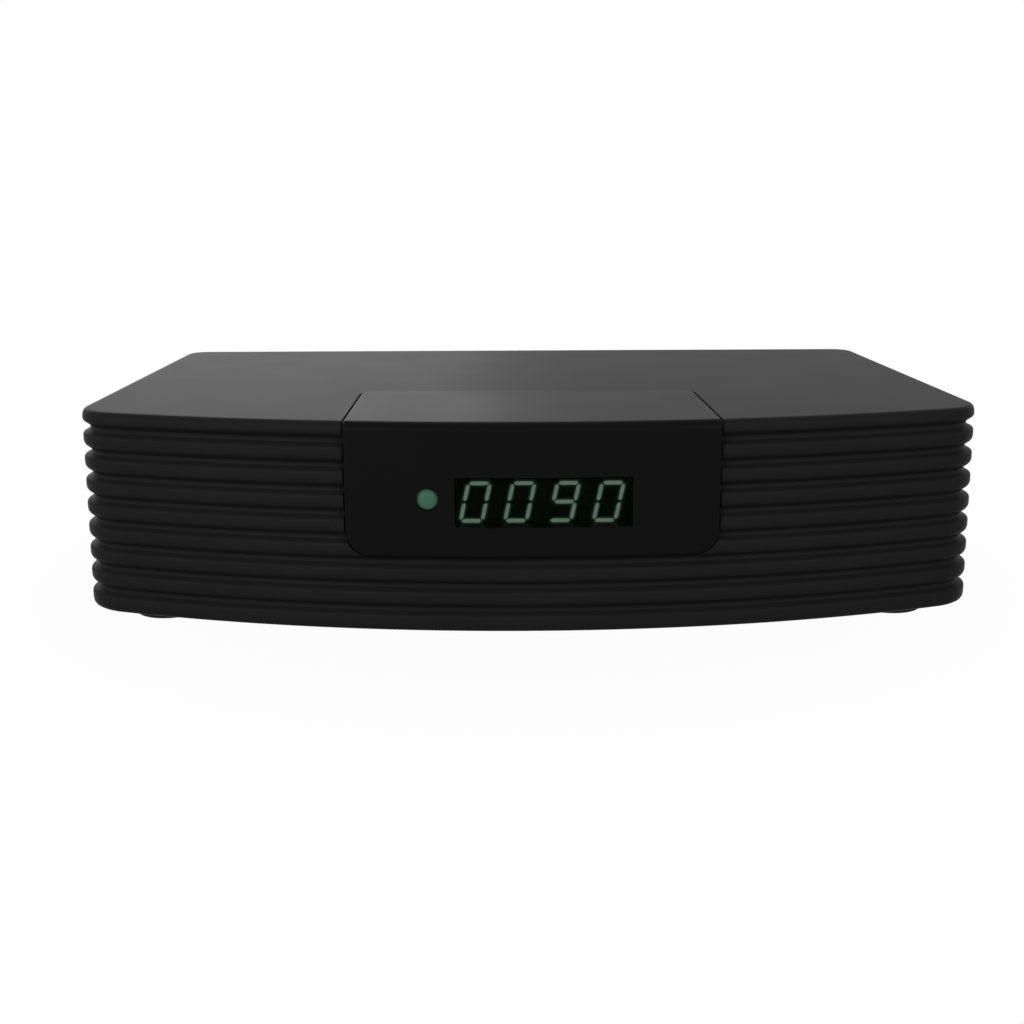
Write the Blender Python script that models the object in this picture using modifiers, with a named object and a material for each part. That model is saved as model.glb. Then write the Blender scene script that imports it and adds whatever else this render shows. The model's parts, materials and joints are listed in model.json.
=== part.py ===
"""Terrestrial television receiver: a small set-top box, piece by piece.

Frame: X to the right as seen from the front, Y towards the back, Z up.
The origin is the middle of the footprint, on the surface that the feet stand on.
Heights on the case are given as drops below the flat top plate.
"""
import math

import bmesh
import bpy
import numpy as np
from mathutils import Matrix, Vector

OBJECT_NAME = "terrestrial_tv_receiver"
MM = 0.001

# Case: a straight-sided box whose front is bowed outwards
case_width = 160.0 * MM
side_depth = 94.0 * MM
front_bulge = 15.0 * MM
shell_height = 35.8 * MM
foot_stand = 1.9 * MM
front_corner_radius = 10.4 * MM
rear_corner_radius = 5.0 * MM
plate_thickness = 2.3 * MM
top_edge_radius = 0.8 * MM
wall_thickness = 3.0 * MM
side_draft = 0.45 * MM

# Ribs: one moulded profile that runs round three sides of the case
groove_count = 8
groove_pitch = 4.1 * MM
groove_opening = 1.7 * MM
groove_lead = 0.6 * MM
groove_depth = 1.3 * MM
rib_crown = 0.1 * MM
lower_edge_radius = 0.9 * MM

# Gaps and overruns shared by all pieces
fit_gap = 0.3 * MM
seam_gap = 0.35 * MM
cut_overrun = 1.0 * MM
weld_distance = 0.01 * MM

# Front panel: face on the bow, tab on the top
panel_width = 62.7 * MM
panel_drop = 22.6 * MM
panel_proud = 0.5 * MM
panel_thickness = 2.2 * MM
panel_corner_radius = 4.1 * MM
panel_edge_radius = 1.5 * MM
tab_reach = 37.2 * MM
tab_thickness = 1.2 * MM
tab_proud = 0.15 * MM
tab_corner_radius = 3.0 * MM
shelf_thickness = 1.5 * MM
shelf_margin = 2.5 * MM
locating_pin_radius = 1.2 * MM
locating_pin_length = 1.8 * MM
locating_pin_inset = 7.0 * MM
hook_width = 5.0 * MM
hook_inset = 4.6 * MM
hook_thickness = 1.4 * MM
hook_catch = 1.0 * MM
hook_length = 1.4 * MM

# Opening in the front wall behind the panel
front_opening_drop = 6.1 * MM
front_opening_ledge = 2.7 * MM

# Display, indicator light and the board that carries them
window_width = 29.6 * MM
window_height = 8.45 * MM
window_centre_x = 1.8 * MM
window_centre_drop = 13.2 * MM
window_sink = 0.2 * MM
window_flange_width = 1.2 * MM
window_flange_thickness = 0.9 * MM
window_corner_radius = 0.4 * MM
light_radius = 1.75 * MM
light_centre_x = -17.5 * MM
light_centre_drop = 12.8 * MM
light_dome = 0.5 * MM
light_collar_radius = 2.2 * MM
light_collar_length = 1.2 * MM
module_width = 30.2 * MM
module_height = 10.2 * MM
module_depth = 6.0 * MM
display_board_width = 61.0 * MM
display_board_height = 17.0 * MM
display_board_drop = 5.6 * MM
board_thickness = 1.6 * MM
board_post_radius = 2.2 * MM
board_post_side_inset = 5.5 * MM
board_post_top_inset = 3.0 * MM
pilot_spare = 0.8 * MM
display_screw_length = 5.0 * MM
receiver_width = 5.0 * MM
receiver_height = 6.0 * MM
receiver_depth = 4.0 * MM
receiver_lens_radius = 1.9 * MM
receiver_light_gap = 0.8 * MM
receiver_centre_drop = 14.6 * MM
receiver_lens_reach = 1.0 * MM

# Base tray
floor_thickness = 2.2 * MM
rim_thickness = 1.5 * MM
rim_height = 5.0 * MM
boss_radius = 4.5 * MM
boss_height = 6.0 * MM
standoff_radius = 3.2 * MM
standoff_height = 5.0 * MM
vent_length = 24.0 * MM
vent_width = 2.0 * MM
vent_pitch = 5.0 * MM
vent_row_gap = 6.0 * MM
vents_per_row = 7

# Feet
foot_radius = 6.5 * MM
foot_chamfer = 0.5 * MM
foot_seat_depth = 1.0 * MM
foot_inset = 14.0 * MM
front_foot_setback = 6.2 * MM
rear_foot_setback = 12.0 * MM

# Case screws, from below through the tray into the posts of the cover
post_radius = 3.5 * MM
post_inset = 9.0 * MM
front_post_setback = 22.0 * MM
rear_post_setback = 28.0 * MM
case_screw_head_radius = 2.7 * MM
case_screw_head_height = 1.6 * MM
case_screw_radius = 1.3 * MM
case_screw_reach = 9.0 * MM
counterbore_depth = 4.0 * MM

# Rear panel with its stepped edge, and the aerial sockets that reach past it
mouth_margin = 13.0 * MM
rear_panel_sink = 0.5 * MM
flange_thickness = 1.5 * MM
flange_margin = 4.0 * MM
guide_width = 2.5 * MM
guide_thickness = 1.5 * MM
guide_height = 18.0 * MM
antenna_reach = 8.5 * MM

# Main board and its screws
main_board_margin = 14.0 * MM
main_board_depth = 62.5 * MM
board_screw_side_inset = 5.0 * MM
board_screw_front_inset = 5.0 * MM
board_screw_rear_inset = 20.5 * MM
small_screw_radius = 1.1 * MM
small_screw_head_radius = 2.3 * MM
small_screw_head_height = 1.5 * MM
board_screw_length = 5.5 * MM

# Sockets, set out in a row along the rear panel
power_width = 9.0 * MM
power_height = 11.0 * MM
power_depth = 14.0 * MM
power_bore_radius = 3.1 * MM
power_bore_depth = 9.5 * MM
power_pin_radius = 1.05 * MM
power_bore_rise = 6.5 * MM
socket_pin_sink = 1.0 * MM
data_width = 13.2 * MM
data_height = 5.8 * MM
data_depth = 14.0 * MM
data_wall = 0.45 * MM
data_cavity_depth = 11.0 * MM
data_tongue_thickness = 1.8 * MM
data_tongue_margin = 0.7 * MM
video_width = 15.0 * MM
video_height = 5.6 * MM
video_depth = 12.0 * MM
video_wall = 0.45 * MM
video_taper = 1.6 * MM
video_cavity_depth = 9.0 * MM
video_tongue_width = 10.6 * MM
video_tongue_thickness = 1.2 * MM
scart_width = 50.0 * MM
scart_height = 20.5 * MM
scart_depth = 20.0 * MM
scart_cavity_width = 46.0 * MM
scart_cavity_height = 13.6 * MM
scart_cavity_depth = 12.0 * MM
scart_slant_width = 7.5 * MM
scart_slant_height = 6.0 * MM
scart_block_margin = 2.0 * MM
scart_block_sink = 1.5 * MM
scart_slot_pitch = 3.81 * MM
scart_slot_width = 1.2 * MM
scart_slot_height = 3.0 * MM
scart_slot_row_gap = 2.0 * MM
scart_slot_depth = 8.0 * MM
scart_slots_per_row = 10

# Tuner can and the two aerial sockets on it
tuner_width = 29.5 * MM
tuner_height = 13.5 * MM
tuner_depth = 15.0 * MM
tuner_edge = 0.5 * MM
antenna_spacing = 15.0 * MM
antenna_centre_rise = 7.2 * MM
antenna_input_radius = 5.6 * MM
antenna_input_bore = 4.75 * MM
antenna_output_radius = 4.7 * MM
antenna_output_bore = 4.1 * MM
antenna_collar_radius = 6.2 * MM
antenna_base_thickness = 2.0 * MM
antenna_disc_thickness = 2.0 * MM
antenna_input_contact_radius = 2.0 * MM
antenna_input_contact_bore = 1.2 * MM
antenna_contact_bore_depth = 5.0 * MM
antenna_output_pin_radius = 1.15 * MM

# Parts on the main board, set out from the board's centre and its front edge
processor_size = 21.0 * MM
processor_height = 1.4 * MM
processor_x = -6.0 * MM
processor_inset = 24.0 * MM
heat_sink_size = 24.0 * MM
heat_sink_base = 2.0 * MM
heat_sink_height = 8.0 * MM
heat_sink_fins = 7
heat_sink_fin_thickness = 1.4 * MM
memory_width = 8.0 * MM
memory_depth = 13.0 * MM
memory_height = 1.1 * MM
memory_x = 17.0 * MM
memory_inset = 24.0 * MM
flash_width = 5.0 * MM
flash_depth = 6.0 * MM
flash_height = 1.6 * MM
flash_x = -27.0 * MM
flash_inset = 18.0 * MM
crystal_width = 11.0 * MM
crystal_depth = 4.6 * MM
crystal_height = 3.6 * MM
crystal_x = -6.0 * MM
crystal_inset = 7.5 * MM
inductor_size = 10.0 * MM
inductor_height = 5.0 * MM
inductor_edge = 1.5 * MM
inductor_side_inset = 24.0 * MM
inductor_inset = 32.0 * MM
capacitor_radius = 4.0 * MM
capacitor_height = 11.0 * MM
capacitor_chamfer = 0.5 * MM
capacitor_side_inset = 12.0 * MM
capacitor_front_insets = (19.0 * MM, 30.0 * MM)
large_capacitor_side_inset = 30.0 * MM
large_capacitor_front_inset = 20.0 * MM
chip_edge = 0.3 * MM

# Flat cable between the boards and the two sockets that take its ends
cable_width = 10.0 * MM
cable_thickness = 0.8 * MM
cable_x = 14.0 * MM
cable_socket_width = 12.5 * MM
cable_socket_depth = 5.0 * MM
cable_socket_height = 4.6 * MM
cable_socket_inset = 2.0 * MM
cable_steps = 12

# Facets
front_steps = 7
corner_steps = 5
rear_corner_steps = 3
panel_corner_steps = 4
edge_steps = 3
round_steps = 24
small_round_steps = 16
slot_end_steps = 3
bow_strip_steps = 6
rib_crown_shares = (-0.5, 0.0, 0.5)
bow_shares = (0.0, 1 / 3, 2 / 3, 1.0)
light_crown_share = 0.6
pin_tip_share = 0.4
screw_crown_share = 0.6
scart_stagger_share = 0.25
TOOLS_NAME = "cutters_and_joiners"

# Shares of the room that the sockets leave in the mouth, from its left end to its right end
socket_gap_shares = (0.23, 0.10, 0.12, 0.15, 0.19, 0.21)

# Places worked out from the sizes
mouth_width = case_width - 2 * mouth_margin
main_board_width = case_width - 2 * main_board_margin
post_x = case_width / 2 - post_inset
foot_x = case_width / 2 - foot_inset
board_screw_x = main_board_width / 2 - board_screw_side_inset
front_opening_width = panel_width - 2 * front_opening_ledge
front_opening_height = panel_drop - front_opening_drop - front_opening_ledge
hook_x = front_opening_width / 2 - hook_inset
board_post_x = display_board_width / 2 - board_post_side_inset
board_post_drop = display_board_drop + board_post_top_inset
receiver_centre_x = light_centre_x - light_collar_radius - receiver_light_gap - receiver_width / 2
socket_widths = (power_width, data_width, video_width, scart_width, tuner_width)
socket_room = mouth_width - sum(socket_widths)
socket_centres = [
    sum(socket_widths[:place]) + width / 2 + socket_room * sum(socket_gap_shares[: place + 1])
    - mouth_width / 2
    for place, width in enumerate(socket_widths)
]
power_centre_x, data_centre_x, video_centre_x, scart_centre_x, tuner_centre_x = socket_centres
capacitor_places = [
    (capacitor_side_inset - main_board_width / 2, inset) for inset in capacitor_front_insets
] + [(main_board_width / 2 - large_capacitor_side_inset, large_capacitor_front_inset)]
overall_depth = panel_proud + front_bulge + side_depth + antenna_reach
rib_apex_y = panel_proud - overall_depth / 2
chord_y = rib_apex_y + front_bulge
back_y = chord_y + side_depth
top_z = foot_stand + shell_height
plate_under_z = top_z - plate_thickness
bow_radius = ((case_width / 2) ** 2 + front_bulge ** 2) / (2 * front_bulge)
bow_centre_y = rib_apex_y + bow_radius
floor_under_z = foot_stand
floor_top_z = floor_under_z + floor_thickness
main_board_under_z = floor_top_z + standoff_height + fit_gap
main_board_top_z = main_board_under_z + board_thickness
socket_base_z = main_board_top_z + fit_gap
rear_face_y = back_y - rear_panel_sink
flange_out_y = back_y - wall_thickness - fit_gap
flange_in_y = flange_out_y - flange_thickness
socket_mouth_y = rear_face_y - fit_gap
main_board_rear_y = flange_in_y - fit_gap
main_board_front_y = main_board_rear_y - main_board_depth
panel_back_inset = panel_thickness - panel_proud
tab_under_z = top_z + tab_proud - tab_thickness
module_corner_x = abs(window_centre_x) + module_width / 2
tab_front_inset = (panel_edge_radius - panel_proud + panel_back_inset) / 2
mid_plate_z = top_z - plate_thickness / 2
mid_floor_z = floor_under_z + floor_thickness / 2
boss_top_z = floor_top_z + boss_height
post_under_z = boss_top_z + fit_gap
case_screw_seat_z = floor_under_z + counterbore_depth - fit_gap
case_screw_tip_z = case_screw_seat_z + case_screw_reach
guide_out_x = mouth_width / 2 + flange_margin
guide_in_x = guide_out_x - guide_width
guide_rear_y = flange_in_y - fit_gap
guide_front_y = guide_rear_y - guide_thickness
light_place = (light_centre_x, top_z - light_centre_drop)
board_post_places = [(side * board_post_x, top_z - board_post_drop) for side in (-1, 1)]
locating_pin_places = [
    (side * (panel_width / 2 - locating_pin_inset), rib_apex_y + tab_reach - locating_pin_inset)
    for side in (-1, 1)
]
antenna_places = [
    (tuner_centre_x + side * antenna_spacing / 2, socket_base_z + antenna_centre_rise)
    for side in (1, -1)
]
case_screw_places = [
    (side * post_x, chord_y + front_post_setback) for side in (-1, 1)
] + [
    (side * post_x, back_y - rear_post_setback) for side in (-1, 1)
]
foot_places = [
    (side * foot_x, chord_y + front_foot_setback) for side in (-1, 1)
] + [
    (side * foot_x, back_y - rear_foot_setback) for side in (-1, 1)
]
board_screw_places = [
    (side * board_screw_x, main_board_front_y + board_screw_front_inset) for side in (-1, 1)
] + [
    (side * board_screw_x, main_board_rear_y - board_screw_rear_inset) for side in (-1, 1)
]


def bow_y(x, inset=0.0):
    """Y of the bowed front at a given X, on the arc moved inwards by the inset."""
    return bow_centre_y - math.sqrt((bow_radius - inset) ** 2 - x ** 2)


window_flange_inset = panel_back_inset + fit_gap
window_back_inset = window_flange_inset + window_flange_thickness
module_front_y = bow_y(module_corner_x, window_back_inset) + fit_gap
module_back_y = module_front_y + module_depth
display_board_front_y = module_back_y + fit_gap
display_board_back_y = display_board_front_y + board_thickness


def clear_scene():
    """Start from an empty scene."""
    for old in list(bpy.data.objects):
        bpy.data.objects.remove(old, do_unlink=True)


def make_collection(name):
    """New collection in the scene."""
    collection = bpy.data.collections.new(name)
    bpy.context.scene.collection.children.link(collection)
    return collection


def make_material(name, colour, roughness, metallic=0.0):
    """Principled material with one colour, roughness and metallic value."""
    material = bpy.data.materials.new(name)
    material.use_nodes = True
    shader = material.node_tree.nodes["Principled BSDF"]
    shader.inputs["Base Color"].default_value = (*colour, 1.0)
    shader.inputs["Roughness"].default_value = roughness
    shader.inputs["Metallic"].default_value = metallic
    material.diffuse_color = (*colour, 1.0)
    return material


# Meshes and outlines


def arc(centre, radius, start, end, steps):
    """Points on a circle from one angle to another, in radians, both ends included."""
    angles = np.linspace(start, end, steps + 1)
    return [(centre[0] + radius * math.cos(a), centre[1] + radius * math.sin(a)) for a in angles]


def right_outline(inset):
    """Right half of the case outline moved inwards, from the middle of the front to the rear corner."""
    corner_x = case_width / 2 - front_corner_radius
    corner_y = bow_y(corner_x, front_corner_radius)
    swing = math.atan2(corner_x, bow_centre_y - corner_y)
    quarter = math.pi / 2
    front = arc((0, bow_centre_y), bow_radius - inset, -quarter, swing - quarter, front_steps)
    corner = arc((corner_x, corner_y), front_corner_radius - inset, swing - quarter, 0, corner_steps)
    rear_centre = (case_width / 2 - rear_corner_radius, back_y - rear_corner_radius)
    rear = arc(rear_centre, rear_corner_radius - inset, 0, quarter, rear_corner_steps)
    return front + corner[1:] + rear


def mirrored(points):
    """The same points on the other side of the middle plane, in reverse order."""
    return [(-x, y) for x, y in reversed(points)]


def rectangle(centre_x, centre_y, width, height):
    """Four corners, anticlockwise."""
    return [
        (centre_x + sx * width / 2, centre_y + sy * height / 2)
        for sx, sy in ((-1, -1), (1, -1), (1, 1), (-1, 1))
    ]


def rounded_rectangle(centre_x, centre_y, width, height, radius, steps):
    """Rectangle with four rounded corners, anticlockwise."""
    points = []
    for turn, (sx, sy) in enumerate(((1, 1), (-1, 1), (-1, -1), (1, -1))):
        corner = (centre_x + sx * (width / 2 - radius), centre_y + sy * (height / 2 - radius))
        points += arc(corner, radius, turn * math.pi / 2, (turn + 1) * math.pi / 2, steps)
    return points


def slot_outline(centre_x, centre_y, length, width):
    """Slot with round ends that runs along the second axis."""
    half_run = length / 2 - width / 2
    far_end = arc((centre_x, centre_y + half_run), width / 2, 0, math.pi, slot_end_steps)
    near_end = arc((centre_x, centre_y - half_run), width / 2, math.pi, 2 * math.pi, slot_end_steps)
    return far_end + near_end


def link(name, mesh, group, material=None):
    """Object for a mesh, in a collection; tools for cutting and joining show as wires."""
    new = bpy.data.objects.new(name, mesh)
    group.objects.link(new)
    if material:
        mesh.materials.append(material)
    if group.name == TOOLS_NAME:
        new.hide_render = True
        new.display_type = "WIRE"
    return new


def mesh_from_curve(curve_object, name):
    """Turn a curve object into a closed mesh in world space and remove the curve."""
    depsgraph = bpy.context.evaluated_depsgraph_get()
    depsgraph.update()
    mesh = bpy.data.meshes.new_from_object(curve_object.evaluated_get(depsgraph))
    mesh.name = name
    mesh.materials.clear()
    shape = bmesh.new()
    shape.from_mesh(mesh)
    bmesh.ops.transform(shape, matrix=curve_object.matrix_world, verts=shape.verts)
    bmesh.ops.remove_doubles(shape, verts=shape.verts, dist=weld_distance)
    bmesh.ops.recalc_face_normals(shape, faces=shape.faces)
    shape.to_mesh(mesh)
    shape.free()
    curve = curve_object.data
    bpy.data.objects.remove(curve_object)
    bpy.data.curves.remove(curve)
    return mesh


def poly_curve(name, outlines, cyclic=True):
    """Flat curve object with one straight-sided spline for each outline."""
    curve = bpy.data.curves.new(name, "CURVE")
    curve.dimensions = "2D"
    for outline in outlines:
        spline = curve.splines.new("POLY")
        spline.points.add(len(outline) - 1)
        for point, (x, y) in zip(spline.points, outline):
            point.co = (x, y, 0, 1)
        spline.use_cyclic_u = cyclic
    new = bpy.data.objects.new(name, curve)
    bpy.context.scene.collection.objects.link(new)
    return new


# An outline is drawn in plan, from the front or from the side, and extruded square to that view
VIEWS = {
    "top": Matrix.Identity(4),
    "front": Matrix.Rotation(math.pi / 2, 4, "X"),
    "side": Matrix(((0, 0, 1, 0), (1, 0, 0, 0), (0, 1, 0, 0), (0, 0, 0, 1))),
}
VIEW_AXIS = {"top": Vector((0, 0, 1)), "front": Vector((0, 1, 0)), "side": Vector((1, 0, 0))}


def slab(name, outlines, low, high, group, material=None, view="top"):
    """Flat outline, with further outlines as holes, extruded between two planes."""
    flat = poly_curve(name, outlines)
    flat.data.fill_mode = "BOTH"
    flat.data.extrude = (high - low) / 2
    flat.matrix_world = Matrix.Translation(VIEW_AXIS[view] * (low + high) / 2) @ VIEWS[view]
    bpy.context.view_layer.update()
    return link(name, mesh_from_curve(flat, name), group, material)


def blocks(name, corners, group, material=None, edge=0.0):
    """Boxes in one mesh, each from its lowest to its highest corner, with optional soft edges."""
    shape = bmesh.new()
    for low, high in corners:
        size = Vector(high) - Vector(low)
        made = bmesh.ops.create_cube(shape, size=1)
        bmesh.ops.scale(shape, vec=size, verts=made["verts"])
        bmesh.ops.translate(shape, vec=(Vector(low) + Vector(high)) / 2, verts=made["verts"])
    mesh = bpy.data.meshes.new(name)
    shape.to_mesh(mesh)
    shape.free()
    new = link(name, mesh, group, material)
    if edge:
        soften(new, edge, 1)
    return new


def rods(name, centres, radius, low, high, group, material=None, view="top", steps=small_round_steps):
    """Equal cylinders in one mesh, seen end on in the given view, between two planes."""
    shape = bmesh.new()
    for centre in centres:
        made = bmesh.ops.create_cone(
            shape, cap_ends=True, segments=steps, radius1=radius, radius2=radius, depth=high - low
        )
        place = Matrix.Translation(VIEW_AXIS[view] * (low + high) / 2) @ VIEWS[view]
        place = place @ Matrix.Translation((*centre, 0))
        bmesh.ops.transform(shape, matrix=place, verts=made["verts"])
    bmesh.ops.recalc_face_normals(shape, faces=shape.faces)
    mesh = bpy.data.meshes.new(name)
    shape.to_mesh(mesh)
    shape.free()
    return link(name, mesh, group, material)


def turned(name, profile, place, group, material, steps=round_steps, along="Z"):
    """Turned solid: a half profile of radius and height, spun with a Screw modifier.

    The profile starts and ends on the axis and runs down its outer side.
    """
    mesh = bpy.data.meshes.new(name)
    points = [(radius, 0, height) for radius, height in profile]
    mesh.from_pydata(points, [(i, i + 1) for i in range(len(points) - 1)], [])
    new = link(name, mesh, group, material)
    new.location = place
    if along == "Y":
        new.rotation_euler = (-math.pi / 2, 0, 0)
    if along == "-Y":
        new.rotation_euler = (math.pi / 2, 0, 0)
    screw = new.modifiers.new("turn", "SCREW")
    screw.steps = steps
    screw.render_steps = steps
    screw.use_merge_vertices = True
    screw.merge_threshold = weld_distance
    screw.use_smooth_shade = True
    return new


def soften(target, width, segments):
    """Bevel on every edge that turns by more than 30 degrees."""
    bevel = target.modifiers.new("soft edges", "BEVEL")
    bevel.width = width
    bevel.segments = segments
    bevel.limit_method = "ANGLE"
    bevel.angle_limit = math.radians(30)
    bevel.use_clamp_overlap = True


def round_marked(target, is_marked, width, segments):
    """Bevel on the edges whose two ends both pass a test on their place."""
    mesh = target.data
    weights = mesh.attributes.new("bevel_weight_edge", "FLOAT", "EDGE")
    for edge in mesh.edges:
        ends = [mesh.vertices[i].co for i in edge.vertices]
        weights.data[edge.index].value = 1.0 if all(is_marked(end) for end in ends) else 0.0
    bevel = target.modifiers.new("rounded edge", "BEVEL")
    bevel.width = width
    bevel.segments = segments
    bevel.limit_method = "WEIGHT"


def combine(target, tool, operation):
    """Boolean with the exact solver."""
    boolean = target.modifiers.new(f"{operation.lower()} {tool.name}", "BOOLEAN")
    boolean.operation = operation
    boolean.object = tool
    boolean.solver = "EXACT"


def join(target, *tools):
    """Fuse tools to a target."""
    for tool in tools:
        combine(target, tool, "UNION")


def cut(target, *tools):
    """Cut tools out of a target."""
    for tool in tools:
        combine(target, tool, "DIFFERENCE")


def smooth(target, degrees=30):
    """Smooth shading with creases kept sharp."""
    target.data.shade_smooth()
    target.data.set_sharp_from_angle(angle=math.radians(degrees))


# Case


def rib_profile():
    """Section of the ribbed wall: outward offset from the lowest crest, and height below the top.

    The outer side leans inwards by the draft, and the inner side is upright.
    """
    points = [(-wall_thickness, -plate_thickness / 2), (-groove_depth, -plate_thickness / 2)]
    for groove in range(groove_count):
        upper = -(plate_thickness + groove * groove_pitch)
        lower = upper - groove_opening
        if groove:
            crest = groove_pitch - groove_opening
            crest_middle = upper + crest / 2
            points += [
                (-4 * rib_crown * share ** 2, crest_middle - share * crest)
                for share in rib_crown_shares
            ]
            points.append((-groove_depth, upper - groove_lead))
        points.append((-groove_depth, lower + groove_lead))
    lower = -(plate_thickness + (groove_count - 1) * groove_pitch + groove_opening)
    points.append((-rib_crown, lower))
    points.append((0, lower - groove_lead))
    edge_centre = (-lower_edge_radius, lower_edge_radius - shell_height)
    points += arc(edge_centre, lower_edge_radius, 0, -math.pi / 2, edge_steps)
    points = [points[0]] + [
        (offset - side_draft * (1 + height / shell_height), height) for offset, height in points[1:]
    ]
    points.append((-wall_thickness, -shell_height))
    return points


def ribbed_wall(group):
    """Wall made by carrying the rib profile round the outline, open at the back."""
    right = right_outline(0)
    half_mouth = mouth_width / 2
    route = [(-half_mouth, back_y)] + mirrored(right) + right[1:] + [(half_mouth, back_y)]
    section = poly_curve("rib_section", [rib_profile()])
    path = poly_curve("wall_path", [route], cyclic=False)
    path.data.bevel_mode = "OBJECT"
    path.data.bevel_object = section
    path.data.use_fill_caps = True
    path.location.z = top_z
    bpy.context.view_layer.update()
    wall = link("top_cover", mesh_from_curve(path, "top_cover"), group)
    bpy.data.curves.remove(section.data)
    return wall


def tab_outline(grow):
    """Plan of the tab: parallel sides, rounded rear corners, front edge inside the face."""
    half = panel_width / 2 + grow
    rear = rib_apex_y + tab_reach + grow
    radius = tab_corner_radius + grow
    front = [(half * share, bow_y(half * share, tab_front_inset)) for share in bow_shares]
    corner = arc((half - radius, rear - radius), radius, 0, math.pi / 2, panel_corner_steps)
    right = front + corner
    return right + mirrored(right)[:-1]


def face_outline(grow, high):
    """Front view of the panel's face: rounded lower corners, square upper ones."""
    half = panel_width / 2 + grow
    low = top_z - panel_drop - grow
    radius = panel_corner_radius + grow
    corner = arc((half - radius, low + radius), radius, -math.pi / 2, 0, panel_corner_steps)
    right = corner + [(half, high)]
    return right + mirrored(right)


def bow_strip(centre_x, width, outer_inset, inner_inset):
    """Plan of a curved strip that follows the bow between two insets."""
    xs = np.linspace(centre_x - width / 2, centre_x + width / 2, bow_strip_steps + 1)
    outer = [(x, bow_y(x, outer_inset)) for x in xs]
    inner = [(x, bow_y(x, inner_inset)) for x in reversed(xs)]
    return outer + inner


def panel_form(name, grow, outer_inset, inner_inset, tab_low, high, group, material=None):
    """The L of the front panel: a bowed face joined to the flat tab.

    The face is a strip of the bow, of which the front outline keeps what it covers. The
    cover's pocket is the same form, grown by the seam.
    """
    width = panel_width + 2 * grow + 2 * cut_overrun
    low = top_z - panel_drop - grow - cut_overrun
    form = slab(name, [bow_strip(0, width, outer_inset, inner_inset)], low, high, group, material)
    if not grow:
        round_marked(form, lambda place: is_front_top(place, high), panel_edge_radius, edge_steps)
    near = rib_apex_y + outer_inset - cut_overrun
    far = bow_y(width / 2, inner_inset) + cut_overrun
    face = face_outline(grow, high + cut_overrun)
    combine(form, slab(name + "_face", [face], near, far, tools, view="front"), "INTERSECT")
    join(form, slab(name + "_tab", [tab_outline(grow)], tab_low, high, tools))
    return form


def is_front_top(place, high):
    """True on the upper outer edge of the panel's strip."""
    middle_inset = (panel_back_inset - panel_proud) / 2
    return abs(place.z - high) < weld_distance and place.y < bow_y(place.x, middle_inset)


def make_top_cover():
    """Ribbed wall and top plate in one moulding, with its pocket, posts and guides."""
    cover = ribbed_wall(parts)
    cover.data.materials.append(materials["cover"])

    outline = right_outline(side_draft)
    plate = slab("plate", [outline + mirrored(outline)[:-1]], plate_under_z, top_z, tools)
    round_marked(plate, lambda place: abs(place.z - top_z) < weld_distance, top_edge_radius, edge_steps)

    half_shelf = panel_width / 2 + shelf_margin
    shelf_rear = rib_apex_y + tab_reach + shelf_margin
    shelf_inset = (groove_depth + side_draft + wall_thickness) / 2
    front_edge = bow_strip(0, 2 * half_shelf, shelf_inset, wall_thickness)[: bow_strip_steps + 1]
    shelf_plan = front_edge + [(half_shelf, shelf_rear), (-half_shelf, shelf_rear)]
    shelf = slab("shelf", [shelf_plan], plate_under_z - shelf_thickness, mid_plate_z, tools)

    posts = rods("posts", case_screw_places, post_radius, post_under_z, mid_plate_z, tools)
    guides = blocks("guides", [
        (
            (min(side * guide_out_x, side * guide_in_x), guide_front_y, plate_under_z - guide_height),
            (max(side * guide_out_x, side * guide_in_x), guide_rear_y, mid_plate_z),
        )
        for side in (-1, 1)
    ], tools)
    join(cover, plate, shelf, posts, guides)

    pocket = panel_form(
        "panel_pocket", seam_gap, -cut_overrun, panel_back_inset + fit_gap,
        tab_under_z - fit_gap, top_z + cut_overrun, tools,
    )
    half_opening = front_opening_width / 2
    opening_top_z = top_z - front_opening_drop
    opening_rear_y = bow_y(half_opening, wall_thickness) + cut_overrun
    opening = blocks("front_opening", [(
        (-half_opening, rib_apex_y - cut_overrun, opening_top_z - front_opening_height),
        (half_opening, opening_rear_y, opening_top_z),
    )], tools)
    pilots = rods("post_pilots", case_screw_places, case_screw_radius + fit_gap,
                  post_under_z - cut_overrun, case_screw_tip_z + pilot_spare, tools)
    pin_holes = rods("pin_holes", locating_pin_places, locating_pin_radius + fit_gap,
                     plate_under_z - shelf_thickness - cut_overrun, top_z, tools)
    cut(cover, pocket, opening, pilots, pin_holes)
    smooth(cover)


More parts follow.
